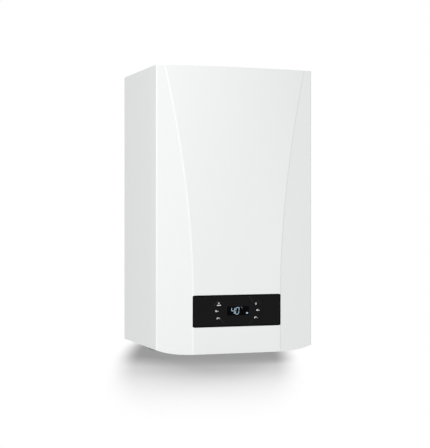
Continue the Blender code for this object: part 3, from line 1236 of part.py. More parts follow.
def make_electronics():
    half = BOX_HALF_WIDTH - BOARD_MARGIN
    low = BOX_BOTTOM + BOARD_MARGIN
    high = BOX_TOP - BOARD_MARGIN
    board = block("main_circuit_board", "circuit_green", (-half, BOARD_FRONT, low),
                  (half, BOARD_BACK, high))
    face = (BOARD_FRONT + BOARD_BACK) / 2
    middle = (low + high) / 2
    parts = (
        ("board_transformer", "cast_alloy", TRANSFORMER_X, TRANSFORMER, BLOCK_EDGE),
        ("board_relay", "black_plastic", RELAY_X, RELAY, RELAY_EDGE),
    )
    for name, material, x, (width, depth, height), edge in parts:
        fuse(board, block(name, material, (x - width / 2, face - depth, middle - height / 2),
                          (x + width / 2, face, middle + height / 2), edge))
    width, depth, height = TERMINAL
    base = low + BOARD_MARGIN
    strip = block("terminal_strip", "grey_plastic",
                  (TERMINAL_X - width / 2, face - depth, base),
                  (TERMINAL_X + width / 2, face, base + height))
    pitch = width / TERMINAL_WAYS
    for index in range(TERMINAL_WAYS):
        x = TERMINAL_X - width / 2 + pitch * (index + 0.5)
        carve(strip, block("way", "grey_plastic",
                           (x - TERMINAL_SLOT / 2, face - depth - CUT_OVERRUN,
                            base - CUT_OVERRUN),
                           (x + TERMINAL_SLOT / 2, face - depth / 2, base + height / 2)))
    fuse(board, strip)


def make_display():
    """Glass front, the carrier behind it, the touch board and the lit screen."""
    outline = rounded_rectangle(GLASS_HALF_WIDTH, GLASS_LOW, GLASS_HIGH, GLASS_CORNER)
    extruded("display_glass", "black_glass", outline, "Y", GLASS_FRONT, GLASS_BACK)
    low = GLASS_LOW + CARRIER_MARGIN
    high = GLASS_HIGH - CARRIER_MARGIN
    front = GLASS_BACK + FACE_GAP
    carrier = block("display_carrier", "black_plastic", (-CARRIER_HALF_WIDTH, front, low),
                    (CARRIER_HALF_WIDTH, CARRIER_BACK, high))
    board_back = front + CARRIER_WALL + TOUCH_BOARD + SCREEN_THICKNESS
    carve(carrier, block("recess", "black_plastic",
                         (-CARRIER_HALF_WIDTH + CARRIER_WALL, front - CUT_OVERRUN,
                          low + CARRIER_WALL),
                         (CARRIER_HALF_WIDTH - CARRIER_WALL, board_back,
                          high - CARRIER_WALL)))
    inset = CARRIER_WALL + HOLE_GAP
    board_front = board_back - FACE_GAP - TOUCH_BOARD
    board = block("touch_board", "circuit_green",
                  (-CARRIER_HALF_WIDTH + inset, board_front, low + inset),
                  (CARRIER_HALF_WIDTH - inset, board_back - FACE_GAP, high - inset))
    fuse(board, block("screen", "circuit_green",
                      (-SCREEN_HALF_WIDTH, front, GLASS_MID - SCREEN_HEIGHT / 2),
                      (SCREEN_HALF_WIDTH, board_front + TOUCH_BOARD / 2,
                       GLASS_MID + SCREEN_HEIGHT / 2)))


def hang_on_hinge(*names):
    """Parent the control unit's pieces to an empty on its hinge's axis."""
    hinge = bpy.data.objects.new("control_unit_hinge_axis", None)
    hinge.location = (0, HINGE_Y, HINGE_Z)
    bpy.context.scene.collection.objects.link(hinge)
    for name in names:
        item = bpy.data.objects[name]
        item.parent = hinge
        item.location -= hinge.location


def make_cable_gland():
    centre = (GLAND_X, -GLAND_DEPTH)
    low = FLOOR_BOTTOM - GLAND_LENGTH / 2
    high = low + GLAND_LENGTH
    head = GLAND_RADIUS * GLAND_HEAD_share
    seat = FLOOR_TOP + FACE_GAP
    turned("cable_gland", "black_plastic", "Z", centre,
           [(GLAND_BORE, low), (GLAND_RADIUS, low), (GLAND_RADIUS, seat), (head, seat),
            (head, seat + GLAND_HEX_HEIGHT), (GLAND_RADIUS, seat + GLAND_HEX_HEIGHT),
            (GLAND_RADIUS, high), (GLAND_BORE, high)], SIDES_SMALL, closed=True)


def main():
    for item in list(bpy.data.objects):
        bpy.data.objects.remove(item)
    make_front_cover()
    make_cover_screws()
    make_wall_bracket()
    make_rear_frame()
    make_top_panel()
    make_bottom_plate()
    make_flue()
    make_heat_exchanger()
    make_burner()
    make_fan()
    make_air_intake()
    make_expansion_vessel()
    make_stubs()
    make_hydraulic_blocks()
    make_pump()
    make_water_pipes()
    make_hydraulic_fittings()
    make_filling_tap()
    make_gas_path()
    make_condensate_trap()
    make_control_box()
    make_electronics()
    make_display()
    hang_on_hinge("control_box", "control_box_lid", "main_circuit_board", "touch_board",
                  "display_carrier", "display_glass")
    make_cable_gland()


main()
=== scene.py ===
"""The looks of the condensing combi boiler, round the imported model."""
import json
import math
from collections import Counter

import bmesh
import bpy
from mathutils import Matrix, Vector


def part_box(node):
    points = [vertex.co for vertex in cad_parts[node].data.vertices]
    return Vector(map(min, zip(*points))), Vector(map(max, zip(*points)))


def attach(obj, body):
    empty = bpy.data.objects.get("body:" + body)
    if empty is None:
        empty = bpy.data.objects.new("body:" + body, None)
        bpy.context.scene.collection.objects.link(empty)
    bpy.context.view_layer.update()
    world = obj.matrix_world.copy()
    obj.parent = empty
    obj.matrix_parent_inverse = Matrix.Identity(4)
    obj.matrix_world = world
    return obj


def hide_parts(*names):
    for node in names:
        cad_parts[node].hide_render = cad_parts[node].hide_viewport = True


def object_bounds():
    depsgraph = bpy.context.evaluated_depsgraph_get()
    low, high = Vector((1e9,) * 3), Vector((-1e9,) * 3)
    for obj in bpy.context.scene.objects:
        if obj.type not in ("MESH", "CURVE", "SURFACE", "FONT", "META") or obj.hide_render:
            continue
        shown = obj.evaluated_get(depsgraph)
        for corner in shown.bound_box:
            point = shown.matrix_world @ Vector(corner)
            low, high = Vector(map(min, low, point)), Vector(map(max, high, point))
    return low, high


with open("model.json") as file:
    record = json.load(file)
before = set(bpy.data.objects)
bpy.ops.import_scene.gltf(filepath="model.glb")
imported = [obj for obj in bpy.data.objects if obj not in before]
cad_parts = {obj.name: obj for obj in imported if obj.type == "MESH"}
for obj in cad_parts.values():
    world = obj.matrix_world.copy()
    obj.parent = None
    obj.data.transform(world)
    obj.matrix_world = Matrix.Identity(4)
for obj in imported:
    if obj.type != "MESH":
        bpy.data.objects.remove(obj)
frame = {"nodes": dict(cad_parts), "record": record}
CAD_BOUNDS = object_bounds()
NODES = frame["nodes"]

# Camera fitted to the photograph, in its pixels and in metres
IMAGE_HEIGHT = 448
FOCAL_PX = 1230
HORIZON_PX = 215.9
CAMERA_PLACE = (-1.0195, -3.084, -0.2976)
CAMERA_TURN = math.radians(19.1)
SENSOR = 36

# Casing, in metres, as in the CAD cover
COVER_LOW, COVER_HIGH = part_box("front_cover")
HALF_WIDTH = COVER_HIGH.x
CASE_TOP = COVER_HIGH.z
SIDE_HEIGHT = 0.675
SIDE_DEPTH = 0.291
SIDE_BOTTOM = CASE_TOP - SIDE_HEIGHT
WALL_STANDOFF = -COVER_HIGH.y
COVER_WALL = 0.0015
COVER_LIP = 0.012
FOLD_RADIUS = 0.004
CENTRE_BOW = 0.0128
TOP_BOW_GAIN = 0.0052
CHIN_DROP = SIDE_BOTTOM - COVER_LOW.z
CHIN_FLAT_HALF = 0.100
CHIN_POWER = 3
CENTRE_SPREAD = 0.7
WING_SLOPE_LOW = 0.140
WING_SLOPE_HIGH = 0.171
CREASE_HALF_LOW = 0.1128
CREASE_HALF_HIGH = 0.1800
CREASE_START = 0.130
CREASE_POWER = 1.82
RISER_WIDTH = 0.002
RISER_HEIGHT = 0.0012
RISER_STEPS = 6
CENTRE_STEPS = 14
WING_STEPS = 14
FOLD_STEPS = 6
SIDE_STEPS = 4
UPPER_ROWS = 60
LOWER_ROWS = 8
WINDOW_ROWS = 6
WINDOW_GAP = 0.0005
WINDOW_CORNER = 0.0036
CORNER_STEPS = 6
SLIVER = 0.00001

GLASS_LOW, GLASS_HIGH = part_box("display_glass")


def tone(red, green, blue):
    """Linear colour of an 8-bit sRGB one."""
    parts = []
    for value in (red, green, blue):
        share = value / 255
        parts.append(share / 12.92 if share < 0.04045 else ((share + 0.055) / 1.055) ** 2.4)
    return tuple(parts)


def feed(tree, item, feeds):
    """Give a node's inputs a socket to link or a value to keep."""
    for key, value in feeds.items():
        if isinstance(value, bpy.types.NodeSocket):
            tree.links.new(value, item.inputs[key])
        else:
            item.inputs[key].default_value = value


def node(tree, kind, feeds=None, **values):
    item = tree.nodes.new(kind)
    for key, value in values.items():
        setattr(item, key, value)
    feed(tree, item, feeds or {})
    return item


def blend(tree, factor, first, second, data_type="RGBA"):
    mix = node(tree, "ShaderNodeMix", data_type=data_type)
    feed(tree, mix, {"Factor": factor, "A": first, "B": second})
    return mix.outputs["Result"]


# Materials: one noise changes colour and roughness, a finer one gives relief
BROAD_RATIO = 12
NOISE_DETAIL = 3
RELIEF_RATIO = 8
SPANGLE_SHARE = 0.6
LEAST_ROUGHNESS = 0.02
WORN_FROM = 0.53
WORN_TO = 0.60
WORN_GAIN = 1.8
WORN_LIFT = 0.03


def surface(name, colour, roughness, metallic=0, grain=0.004, bump=0.05, vary=0.03,
            rough_vary=0.06, stretch=(1, 1, 1), wear=0, emit=0, gloss=0.5, spangle=0):
    """A Principled material whose colour, roughness and relief vary with noise in space.

    grain is the size of its relief in metres; spangle is the size of zinc crystals, if any."""
    material = bpy.data.materials.new(name)
    material.use_nodes = True
    tree = material.node_tree
    place = node(tree, "ShaderNodeTexCoord").outputs["Object"]
    vector = node(tree, "ShaderNodeMapping", {"Vector": place, "Scale": stretch}).outputs["Vector"]
    broad, fine = [node(tree, "ShaderNodeTexNoise", {"Scale": 1 / size, "Detail": NOISE_DETAIL,
                                                     "Vector": vector}).outputs["Fac"]
                   for size in (grain * BROAD_RATIO, grain)]
    if spangle:
        crystals = node(tree, "ShaderNodeTexVoronoi", {"Scale": 1 / spangle, "Vector": vector})
        parts = node(tree, "ShaderNodeSeparateColor", {"Color": crystals.outputs["Color"]})
        broad = blend(tree, SPANGLE_SHARE, broad, parts.outputs["Red"], "FLOAT")
    dark, light = [(*[min(1, part * share) for part in colour], 1)
                   for share in (1 - vary, 1 + vary)]
    result = blend(tree, broad, dark, light)
    if wear:
        edges = node(tree, "ShaderNodeNewGeometry").outputs["Pointiness"]
        ramp = node(tree, "ShaderNodeMapRange", {"Value": edges, "From Min": WORN_FROM,
                                                 "From Max": WORN_TO, "To Max": wear})
        worn = (*[min(1, part * WORN_GAIN + WORN_LIFT) for part in colour], 1)
        result = blend(tree, ramp.outputs["Result"], result, worn)
    rough = node(tree, "ShaderNodeMapRange",
                 {"Value": broad, "To Min": max(LEAST_ROUGHNESS, roughness - rough_vary),
                  "To Max": min(1, roughness + rough_vary)})
    relief = node(tree, "ShaderNodeBump", {"Height": fine, "Strength": bump,
                                           "Distance": grain / RELIEF_RATIO})
    shader = tree.nodes["Principled BSDF"]
    feed(tree, shader, {"Base Color": result, "Roughness": rough.outputs["Result"],
                        "Normal": relief.outputs["Normal"], "Metallic": metallic,
                        "Specular IOR Level": gloss})
    if emit:
        feed(tree, shader, {"Emission Color": result, "Emission Strength": emit})
    return material


ENAMEL = surface("white_enamel", tone(241, 243, 243), 0.34, grain=0.0016, bump=0.04, vary=0.004,
                 rough_vary=0.03)
BLACK_GLASS = surface("display_glass", tone(9, 9, 11), 0.10, grain=0.006, bump=0.004,
                      vary=0.02, rough_vary=0.02, gloss=0.10)
GLASS_RIM = surface("display_rim", tone(7, 7, 8), 0.16, grain=0.006, bump=0.004, gloss=0.05)
SCREEN = surface("display_screen", tone(2, 2, 3), 0.06, grain=0.004, bump=0.002, gloss=0.03)
LIT = surface("display_lit", tone(150, 176, 190), 0.35, grain=0.002, bump=0.0, vary=0.02,
              emit=0.42)
LIT_DIM = surface("display_lit_dim", tone(95, 112, 122), 0.35, grain=0.002, bump=0.0,
                  vary=0.02, emit=0.3)
ICON = surface("display_icon", tone(226, 228, 230), 0.40, grain=0.002, bump=0.0, vary=0.02,
               emit=0.12)
ICON_DIM = surface("display_line", tone(42, 43, 45), 0.40, grain=0.002, bump=0.0, vary=0.02)
# Finish of each material slot: linear colour, roughness, metallic, grain, bump, vary, the rest
SLOT_LOOKS = {
    "galvanised_sheet": ((0.55, 0.56, 0.57), 0.38, 0.85, 0.006, 0.05, 0.10,
                         {"rough_vary": 0.09, "spangle": 0.009}),
    "zinc_screws": ((0.55, 0.55, 0.53), 0.30, 0.95, 0.002, 0.08, 0.06, {}),
    "stainless": ((0.56, 0.55, 0.53), 0.30, 1.0, 0.0024, 0.015, 0.05,
                  {"rough_vary": 0.05, "stretch": (1, 6, 1)}),
    "cast_alloy": ((0.48, 0.48, 0.48), 0.48, 0.85, 0.0012, 0.35, 0.08,
                   {"rough_vary": 0.08, "wear": 0.5}),
    "brass": ((0.60, 0.43, 0.18), 0.28, 1.0, 0.002, 0.06, 0.07, {"rough_vary": 0.07, "wear": 0.3}),
    "copper": ((0.64, 0.30, 0.18), 0.26, 1.0, 0.004, 0.04, 0.14,
               {"rough_vary": 0.10, "stretch": (1, 1, 0.3)}),
    "black_plastic": ((0.028, 0.028, 0.03), 0.46, 0, 0.0008, 0.25, 0.06, {"wear": 0.4}),
    "grey_plastic": ((0.30, 0.31, 0.32), 0.48, 0, 0.0008, 0.22, 0.05, {"wear": 0.3}),
    "vessel_red": ((0.42, 0.05, 0.04), 0.36, 0, 0.0020, 0.12, 0.06, {"wear": 0.3}),
    "circuit_green": ((0.03, 0.16, 0.07), 0.34, 0, 0.0030, 0.06, 0.20, {}),
    "blue_plastic": ((0.03, 0.12, 0.45), 0.40, 0, 0.0008, 0.18, 0.05, {"wear": 0.3}),
    "red_plastic": ((0.50, 0.03, 0.03), 0.40, 0, 0.0008, 0.18, 0.05, {"wear": 0.3}),
    "ceramic": ((0.80, 0.78, 0.72), 0.36, 0, 0.0015, 0.05, 0.03, {}),
}
FINISHES = {slot: surface(slot, *looks[:-1], **looks[-1]) for slot, looks in SLOT_LOOKS.items()}
FINISHES.update(white_enamel=ENAMEL, display_glass=BLACK_GLASS)
DAMPING = surface("damping_sheet", (0.040, 0.041, 0.044), 0.80, grain=0.0016, bump=0.35, vary=0.2)
RUBBER = surface("black_rubber", (0.020, 0.020, 0.021), 0.72, grain=0.0006, bump=0.2, vary=0.10)

# Edges of the CAD nodes and of the pieces made here
WELD_REACH = 0.00001
NODE_ROUND = 0.0003
ROUND_ANGLE = math.radians(40)
FACE_WEIGHT = 100
PIECE_SMOOTH = math.radians(35)
COVER_SMOOTH = math.radians(28)
GLASS_SMOOTH = math.radians(50)


def add_bevel(item, name, width):
    bevel = item.modifiers.new(name, "BEVEL")
    bevel.width = width
    bevel.segments = 2
    bevel.limit_method = "ANGLE"
    bevel.angle_limit = ROUND_ANGLE


def dress_nodes():
    """Give each CAD node its finish, small rounded edges and smooth round faces."""
    for part in frame["record"]["subparts"]:
        item = NODES[part["node"]]
        item.data.materials.clear()
        item.data.materials.append(FINISHES[part["material_slot"]])
        item.modifiers.new("weld", "WELD").merge_threshold = WELD_REACH
        add_bevel(item, "round", NODE_ROUND)
        item.modifiers.new("weigh", "WEIGHTED_NORMAL").weight = FACE_WEIGHT
        for face in item.data.polygons:
            face.use_smooth = True


def add_piece(name, bm, material, body, smooth=PIECE_SMOOTH):
    """Turn a bmesh into a shown piece that rides on a body."""
    bmesh.ops.recalc_face_normals(bm, faces=bm.faces)
    mesh = bpy.data.meshes.new(name)
    bm.to_mesh(mesh)
    bm.free()
    mesh.shade_smooth()
    mesh.set_sharp_from_angle(angle=smooth)
    mesh.materials.append(material)
    item = bpy.data.objects.new(name, mesh)
    bpy.context.scene.collection.objects.link(item)
    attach(item, body)
    return item


def add_fitting(name, slot, shapes, body="boiler", width=0, material=None):
    """A piece of shapes (function, values), its edges softened by a width in millimetres."""
    bm = bmesh.new()
    for make, *values in shapes:
        make(bm, *values)
    item = add_piece(name, bm, material or FINISHES[slot], body)
    if width:
        add_bevel(item, "soft_edges", width * MM)


def bridge(bm, rings, closed=False):
    """Join rings of verts by quads, into a loop or with both ends filled."""
    faces = []
    for first, second in zip(rings, rings[1:] + (rings[:1] if closed else [])):
        for step in range(len(first)):
            after = (step + 1) % len(first)
            faces.append(bm.faces.new((first[step], first[after], second[after], second[step])))
    for ends in () if closed else (rings[0], rings[-1]):
        bm.faces.new(ends)
    return faces


def crease_x(height):
    rise = max(0, height - CREASE_START) / (SIDE_HEIGHT - CREASE_START)
    return CREASE_HALF_LOW + (CREASE_HALF_HIGH - CREASE_HALF_LOW) * rise ** CREASE_POWER


def wing_bulge(x, height):
    slope = WING_SLOPE_LOW + (WING_SLOPE_HIGH - WING_SLOPE_LOW) * height / SIDE_HEIGHT
    return slope * (HALF_WIDTH - FOLD_RADIUS - abs(x))


def centre_bulge(x, height):
    inner = crease_x(height) - RISER_WIDTH
    edge = wing_bulge(crease_x(height), height) + RISER_HEIGHT
    rise = max(0, height - CREASE_START) / (SIDE_HEIGHT - CREASE_START)
    middle = CENTRE_BOW + TOP_BOW_GAIN * rise ** CREASE_POWER
    return edge + (middle - edge) * (1 - (x / inner) ** 2)


def chin_drop(x):
    beyond = max(0, abs(x) - CHIN_FLAT_HALF) / (HALF_WIDTH - CHIN_FLAT_HALF)
    return CHIN_DROP * (1 - beyond ** CHIN_POWER)


def ease(share):
    return share * share * (3 - 2 * share)


def cover_half_row(height):
    """(x, y) of the cover's outer face at a height, from the middle to the wall."""
    points = []
    foot = crease_x(height)
    inner = foot - RISER_WIDTH
    for step in range(CENTRE_STEPS + 1):
        x = inner * ease(step / CENTRE_STEPS) ** CENTRE_SPREAD
        points.append((x, -SIDE_DEPTH - centre_bulge(x, height)))
    top = centre_bulge(inner, height)
    low = wing_bulge(foot, height)
    for step in range(1, RISER_STEPS):
        share = step / RISER_STEPS
        points.append((inner + RISER_WIDTH * share, -SIDE_DEPTH - top + (top - low) * ease(share)))
    edge = HALF_WIDTH - FOLD_RADIUS
    for step in range(WING_STEPS + 1):
        x = foot + (edge - foot) * step / WING_STEPS
        points.append((x, -SIDE_DEPTH - wing_bulge(x, height)))
    for step in range(1, FOLD_STEPS + 1):
        turn = math.pi / 2 * (1 - step / FOLD_STEPS)
        points.append((edge + FOLD_RADIUS * math.cos(turn),
                       -SIDE_DEPTH + FOLD_RADIUS - FOLD_RADIUS * math.sin(turn)))
    start = -SIDE_DEPTH + FOLD_RADIUS
    for step in range(1, SIDE_STEPS + 1):
        points.append((HALF_WIDTH, start + (-WALL_STANDOFF - start) * step / SIDE_STEPS))
    return points


def cover_y(x, height):
    """The cover's outer face at any x of a row, between that row's points."""
    points = cover_half_row(height)
    for (low_x, low_y), (high_x, high_y) in zip(points, points[1:]):
        if low_x <= x <= high_x:
            return low_y + (high_y - low_y) * (x - low_x) / (high_x - low_x)
    return points[-1][1]


def add_window_corners(bm, window_low, window_high):
    """Round the four corners of the display window."""
    edge = crease_x(window_low)
    for side in (-1, 1):
        for height, rise in ((window_low, 1), (window_high, -1)):
            corner = bm.verts.new((side * edge, cover_y(edge, height), SIDE_BOTTOM + height))
            rim = []
            for step in range(CORNER_STEPS + 1):
                turn = math.pi / 2 * step / CORNER_STEPS
                x = edge - WINDOW_CORNER * (1 - math.sin(turn))
                level = height + rise * WINDOW_CORNER * (1 - math.cos(turn))
                rim.append(bm.verts.new((side * x, cover_y(x, height), SIDE_BOTTOM + level)))
            for first, second in zip(rim, rim[1:]):
                bm.faces.new((corner, first, second))


def sharpen_rims(mesh):
    """Mark the open edges of a sheet as sharp, so that its faces stay flat up to them."""
    uses = Counter(key for face in mesh.polygons for key in face.edge_keys)
    for edge in mesh.edges:
        if uses[edge.key] == 1:
            edge.use_edge_sharp = True


def make_cover():
    window_low = GLASS_LOW.z - SIDE_BOTTOM - WINDOW_GAP
    window_high = GLASS_HIGH.z - SIDE_BOTTOM + WINDOW_GAP
    heights = [window_low * step / LOWER_ROWS for step in range(LOWER_ROWS)]
    heights += [window_low + (window_high - window_low) * step / WINDOW_ROWS
                for step in range(WINDOW_ROWS)]
    heights += [window_high + (SIDE_HEIGHT - window_high) * step / UPPER_ROWS
                for step in range(UPPER_ROWS + 1)]
    bm = bmesh.new()
    rows = []
    for height in heights:
        half = cover_half_row(height)
        line = [(-x, y) for x, y in reversed(half[1:])] + half
        fade = max(0, 1 - height / window_low)
        rows.append([bm.verts.new((x, y, SIDE_BOTTOM + height - chin_drop(x) * fade))
                     for x, y in line])
    for row, place in ((rows[0], 0), (rows[-1], len(rows) + 1)):
        lip = []
        for vert in row:
            x = vert.co.x * (1 - COVER_LIP / HALF_WIDTH)
            reach = vert.co.y + WALL_STANDOFF
            y = -WALL_STANDOFF + reach * (1 - COVER_LIP / SIDE_DEPTH)
            lip.append(bm.verts.new((x, y, vert.co.z)))
        rows.insert(place, lip)
    first_row = 1 + LOWER_ROWS
    foot = CENTRE_STEPS + RISER_STEPS
    middle = (len(rows[0]) - 1) // 2
    for index, (first, second) in enumerate(zip(rows, rows[1:])):
        window = first_row <= index < first_row + WINDOW_ROWS
        for step in range(len(first) - 1):
            if window and middle - foot <= step < middle + foot:
                continue
            bm.faces.new((first[step], first[step + 1], second[step + 1], second[step]))
    add_window_corners(bm, window_low, window_high)
    cover = add_piece("cover_shell", bm, ENAMEL, "cover", COVER_SMOOTH)
    sharpen_rims(cover.data)
    shell = cover.modifiers.new("sheet", "SOLIDIFY")
    shell.thickness = COVER_WALL
    shell.offset = -1
    shell.use_even_offset = True
    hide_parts("front_cover")


# Touch display: millimetres from the middle of the glass, heights from its lower edge
MM = 0.001
GLASS_CORNER = 0.003
GLASS_EDGE = 0.0004
GLASS_FRAME = 0.0032
GROUND_SHARE = 0.3
CORNER_LEAST = GLASS_CORNER / 4
PRINT_HEIGHT = 0.00006
SCREEN_LEFT = -26
SCREEN_RIGHT = 30
SCREEN_LOW = 26.6
SCREEN_HIGH = 48.2
DIGIT_LOW = 29
DIGIT_HIGH = 46.2
DIGIT_WIDTH = 9.4
DIGIT_STROKE = 1.4
DIGIT_GAP = 0.45
DIGIT_SLANT = 0.14
TENS_LEFT = -17
UNITS_LEFT = -5.8
SEGMENTS = {"4": "bcfg", "0": "abcdef"}
GLASS_MIDDLE = (GLASS_LOW + GLASS_HIGH) / 2


def glass_point(x, z, lift=0.0):
    """Place on the glass front of a point in millimetres."""
    return Vector((GLASS_MIDDLE.x + x * MM, GLASS_LOW.y - lift, GLASS_LOW.z + z * MM))


def rounded_outline(left, right, low, high, radius, steps=6):
    points = []
    corners = ((right, high, 0), (left, high, 90), (left, low, 180), (right, low, 270))
    for x, z, start in corners:
        centre_x = x - math.copysign(radius, x - (left + right) / 2)
        centre_z = z - math.copysign(radius, z - (low + high) / 2)
        for step in range(steps + 1):
            turn = math.radians(start + 90 * step / steps)
            points.append((centre_x + radius * math.cos(turn), centre_z + radius * math.sin(turn)))
    return points


def make_glass():
    """Glass plate with a ground edge, a black printed frame and a dark grey field."""
    bm = bmesh.new()
    width = (GLASS_HIGH.x - GLASS_LOW.x) / 2
    low, high = GLASS_LOW.z, GLASS_HIGH.z
    rings = []
    for inset, y in ((0, GLASS_HIGH.y), (0, GLASS_LOW.y + GLASS_EDGE),
                     (GLASS_EDGE * GROUND_SHARE, GLASS_LOW.y + GLASS_EDGE * GROUND_SHARE),
                     (GLASS_EDGE, GLASS_LOW.y), (GLASS_FRAME, GLASS_LOW.y)):
        outline = rounded_outline(-width + inset, width - inset, low + inset, high - inset,
                                  max(GLASS_CORNER - inset, CORNER_LEAST))
        rings.append([bm.verts.new((x, y, z)) for x, z in outline])
    for face in bridge(bm, rings):
        face.material_index = 1
    glass = add_piece("glass_panel", bm, BLACK_GLASS, "control_unit",
                      GLASS_SMOOTH)
    glass.data.materials.append(GLASS_RIM)
    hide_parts("display_glass")


def add_plate(bm, outline, low, high):
    """Flat printed mark: an outline in millimetres on the glass, as a thin closed plate."""
    bridge(bm, [[bm.verts.new(glass_point(x, z, lift)) for x, z in outline]
                for lift in (high, low)])


def across(before, after):
    """Unit vector across the way from one point to another."""
    return Vector((before[1] - after[1], after[0] - before[0])).normalized()


def add_band(bm, points, width, low, high, closed=False):
    """A stroke of even width along points, as quads."""
    count = len(points)
    rings = []
    for index, point in enumerate(points):
        before = points[index - 1] if index or closed else point
        after = points[(index + 1) % count] if index < count - 1 or closed else point
        reach = across(before, after) * width / 2
        rings.append([bm.verts.new(glass_point(point[0] + side * reach.x, point[1] + side * reach.y,
                                               lift))
                      for side, lift in ((1, high), (-1, high), (-1, low), (1, low))])
    bridge(bm, rings, closed)


def arc(centre_x, centre_z, radius, start, end, steps=12):
    turns = [math.radians(start + (end - start) * step / steps) for step in range(steps + 1)]
    return [(centre_x + radius * math.cos(turn), centre_z + radius * math.sin(turn))
            for turn in turns]


def ring(centre_x, centre_z, radius_x, radius_z, steps=20):
    turns = [2 * math.pi * step / steps for step in range(steps)]
    return [(centre_x + radius_x * math.cos(turn), centre_z + radius_z * math.sin(turn))
            for turn in turns]


def digit_bars(left, shown):
    """Six-sided bars of a slanted seven-segment digit."""
    right = left + DIGIT_WIDTH
    middle = (DIGIT_LOW + DIGIT_HIGH) / 2
    half = DIGIT_STROKE / 2
    inner_left, inner_right = left + half, right - half
    top, bottom = DIGIT_HIGH - half, DIGIT_LOW + half
    ends = {"a": (inner_left, top, inner_right, top),
            "b": (inner_right, middle, inner_right, top),
            "c": (inner_right, bottom, inner_right, middle),
            "d": (inner_left, bottom, inner_right, bottom),
            "e": (inner_left, bottom, inner_left, middle),
            "f": (inner_left, middle, inner_left, top),
            "g": (inner_left, middle, inner_right, middle)}
    bars = []
    for key in SEGMENTS[shown]:
        x0, z0, x1, z1 = ends[key]
        along = Vector((x1 - x0, z1 - z0)).normalized()
        aside = Vector((-along.y, along.x))
        start = Vector((x0, z0)) + along * DIGIT_GAP
        end = Vector((x1, z1)) - along * DIGIT_GAP
        outline = [start, start + (along + aside) * half, end + (aside - along) * half, end,
                   end - (along + aside) * half, start + (along - aside) * half]
        bars.append([(point.x + (point.y - DIGIT_LOW) * DIGIT_SLANT, point.y)
                     for point in outline])
    return bars


# Printed marks: (x, z) places, radii and turns in degrees, and stroke widths
SCREEN_CORNER = 0.6
DEGREE_RING = ((10.2, 46.4, 0.8, 0.8, 12), 0.45)
DEGREE_UNIT = ((12.9, 44.6, 1.5, 50, 310), 0.5)
FLAME = ((22.6, 30.2), (27.4, 30.2), (27.4, 33.8), (25.6, 33.2), (23.8, 33.4), (22.6, 32.6))
KEY_RINGS = ((-47.0, 56.6, 1.5, 1.7), (48.0, 53.8, 1.5, 2.2))
KEY_RING_WIDTH = 0.8
KEY_LINE = (((-52.2, 51.7), (-41.8, 51.7)), 1.6)
RADIATORS = ((-55.4, 38.0), (50.0, 37.9))
RADIATOR_STROKES = (((0, -1.9), (0, 1.9), 1.45), ((1.75, -1.9), (1.75, 1.9), 1.45),
                    ((3.5, -1.9), (3.5, 1.9), 1.45), ((-0.6, 0), (4.4, 0), 2.2),
                    ((5.2, -0.4), (7.4, -0.9), 1.0))
TAPS = ((-48.2, 20.0), (48.0, 19.8))
TAP_SPOUT = ((-0.6, -0.7), (2.7, 195, 85), 1.8)
TAP_STROKES = (((0.2, 1.9), (2.4, 0.9), 1.1), ((3.2, -0.3), (4.2, -0.9), 1.3))
TOUCH_ARCS = ((-45, 48, 14, 175, 100), (-4, 38, 42, 205, 226), (0, 36, 46, 28, 52),
              (0, 36, 44, -26, -46), (46, 48, 15, 10, 70))
TOUCH_ARC_WIDTH = 0.4


def add_mark(name, bm, material):
    add_piece(name, bm, material, "control_unit")


def make_display_marks():
    """Generic marks: a heating ring, radiators, taps, a temperature and a flame lamp."""
    screen = bmesh.new()
    add_plate(screen, rounded_outline(SCREEN_LEFT, SCREEN_RIGHT, SCREEN_LOW, SCREEN_HIGH,
                                      SCREEN_CORNER), 0, PRINT_HEIGHT)
    add_mark("screen_window", screen, SCREEN)

    on_screen = (PRINT_HEIGHT, PRINT_HEIGHT * 2)
    digits = bmesh.new()
    for left, shown in ((TENS_LEFT, "4"), (UNITS_LEFT, "0")):
        for bar in digit_bars(left, shown):
            add_plate(digits, bar, *on_screen)
    add_mark("temperature_digits", digits, LIT)

    small = bmesh.new()
    add_band(small, ring(*DEGREE_RING[0]), DEGREE_RING[1], *on_screen, True)
    add_band(small, arc(*DEGREE_UNIT[0]), DEGREE_UNIT[1], *on_screen)
    add_mark("degree_mark", small, LIT_DIM)

    lamp = bmesh.new()
    add_plate(lamp, FLAME, *on_screen)
    add_mark("demand_lamp", lamp, LIT)

    marks = bmesh.new()

    def strokes(places, shapes):
        for x, z in places:
            for start, end, width in shapes:
                add_band(marks, [(x + start[0], z + start[1]), (x + end[0], z + end[1])], width,
                         0, PRINT_HEIGHT)

    for places in KEY_RINGS:
        add_band(marks, ring(*places), KEY_RING_WIDTH, 0, PRINT_HEIGHT, True)
    add_band(marks, *KEY_LINE, 0, PRINT_HEIGHT)
    strokes(RADIATORS, RADIATOR_STROKES)
    (spout_x, spout_z), spout, width = TAP_SPOUT
    for x, z in TAPS:
        add_band(marks, arc(x + spout_x, z + spout_z, *spout), width, 0, PRINT_HEIGHT)
    strokes(TAPS, TAP_STROKES)
    add_mark("touch_key_marks", marks, ICON)

    lines = bmesh.new()
    for places in TOUCH_ARCS:
        add_band(lines, arc(*places), TOUCH_ARC_WIDTH, 0, PRINT_HEIGHT)
    add_mark("touch_key_arcs", lines, ICON_DIM)


# Fittings on the chassis and its pieces: millimetres in the CAD's frame
ROUND_SIDES = 32
FINE_SIDES = 64
NUT_SIDES = 6
AXES = {"X": (1, 2, 0), "Y": (0, 2, 1), "Z": (0, 1, 2)}
FLUE_CENTRE = (0, -150)
CELL_CENTRE = (50, -200)
FAN_CENTRE = (-115, -345)
PUMP_CENTRE = (130, -479.7)
TRAP_CENTRE = (-168, -185)
VALVE_CENTRE = (-128, -75)
SILENCER_CENTRE = (-115, -259)
EMBED = 0.3


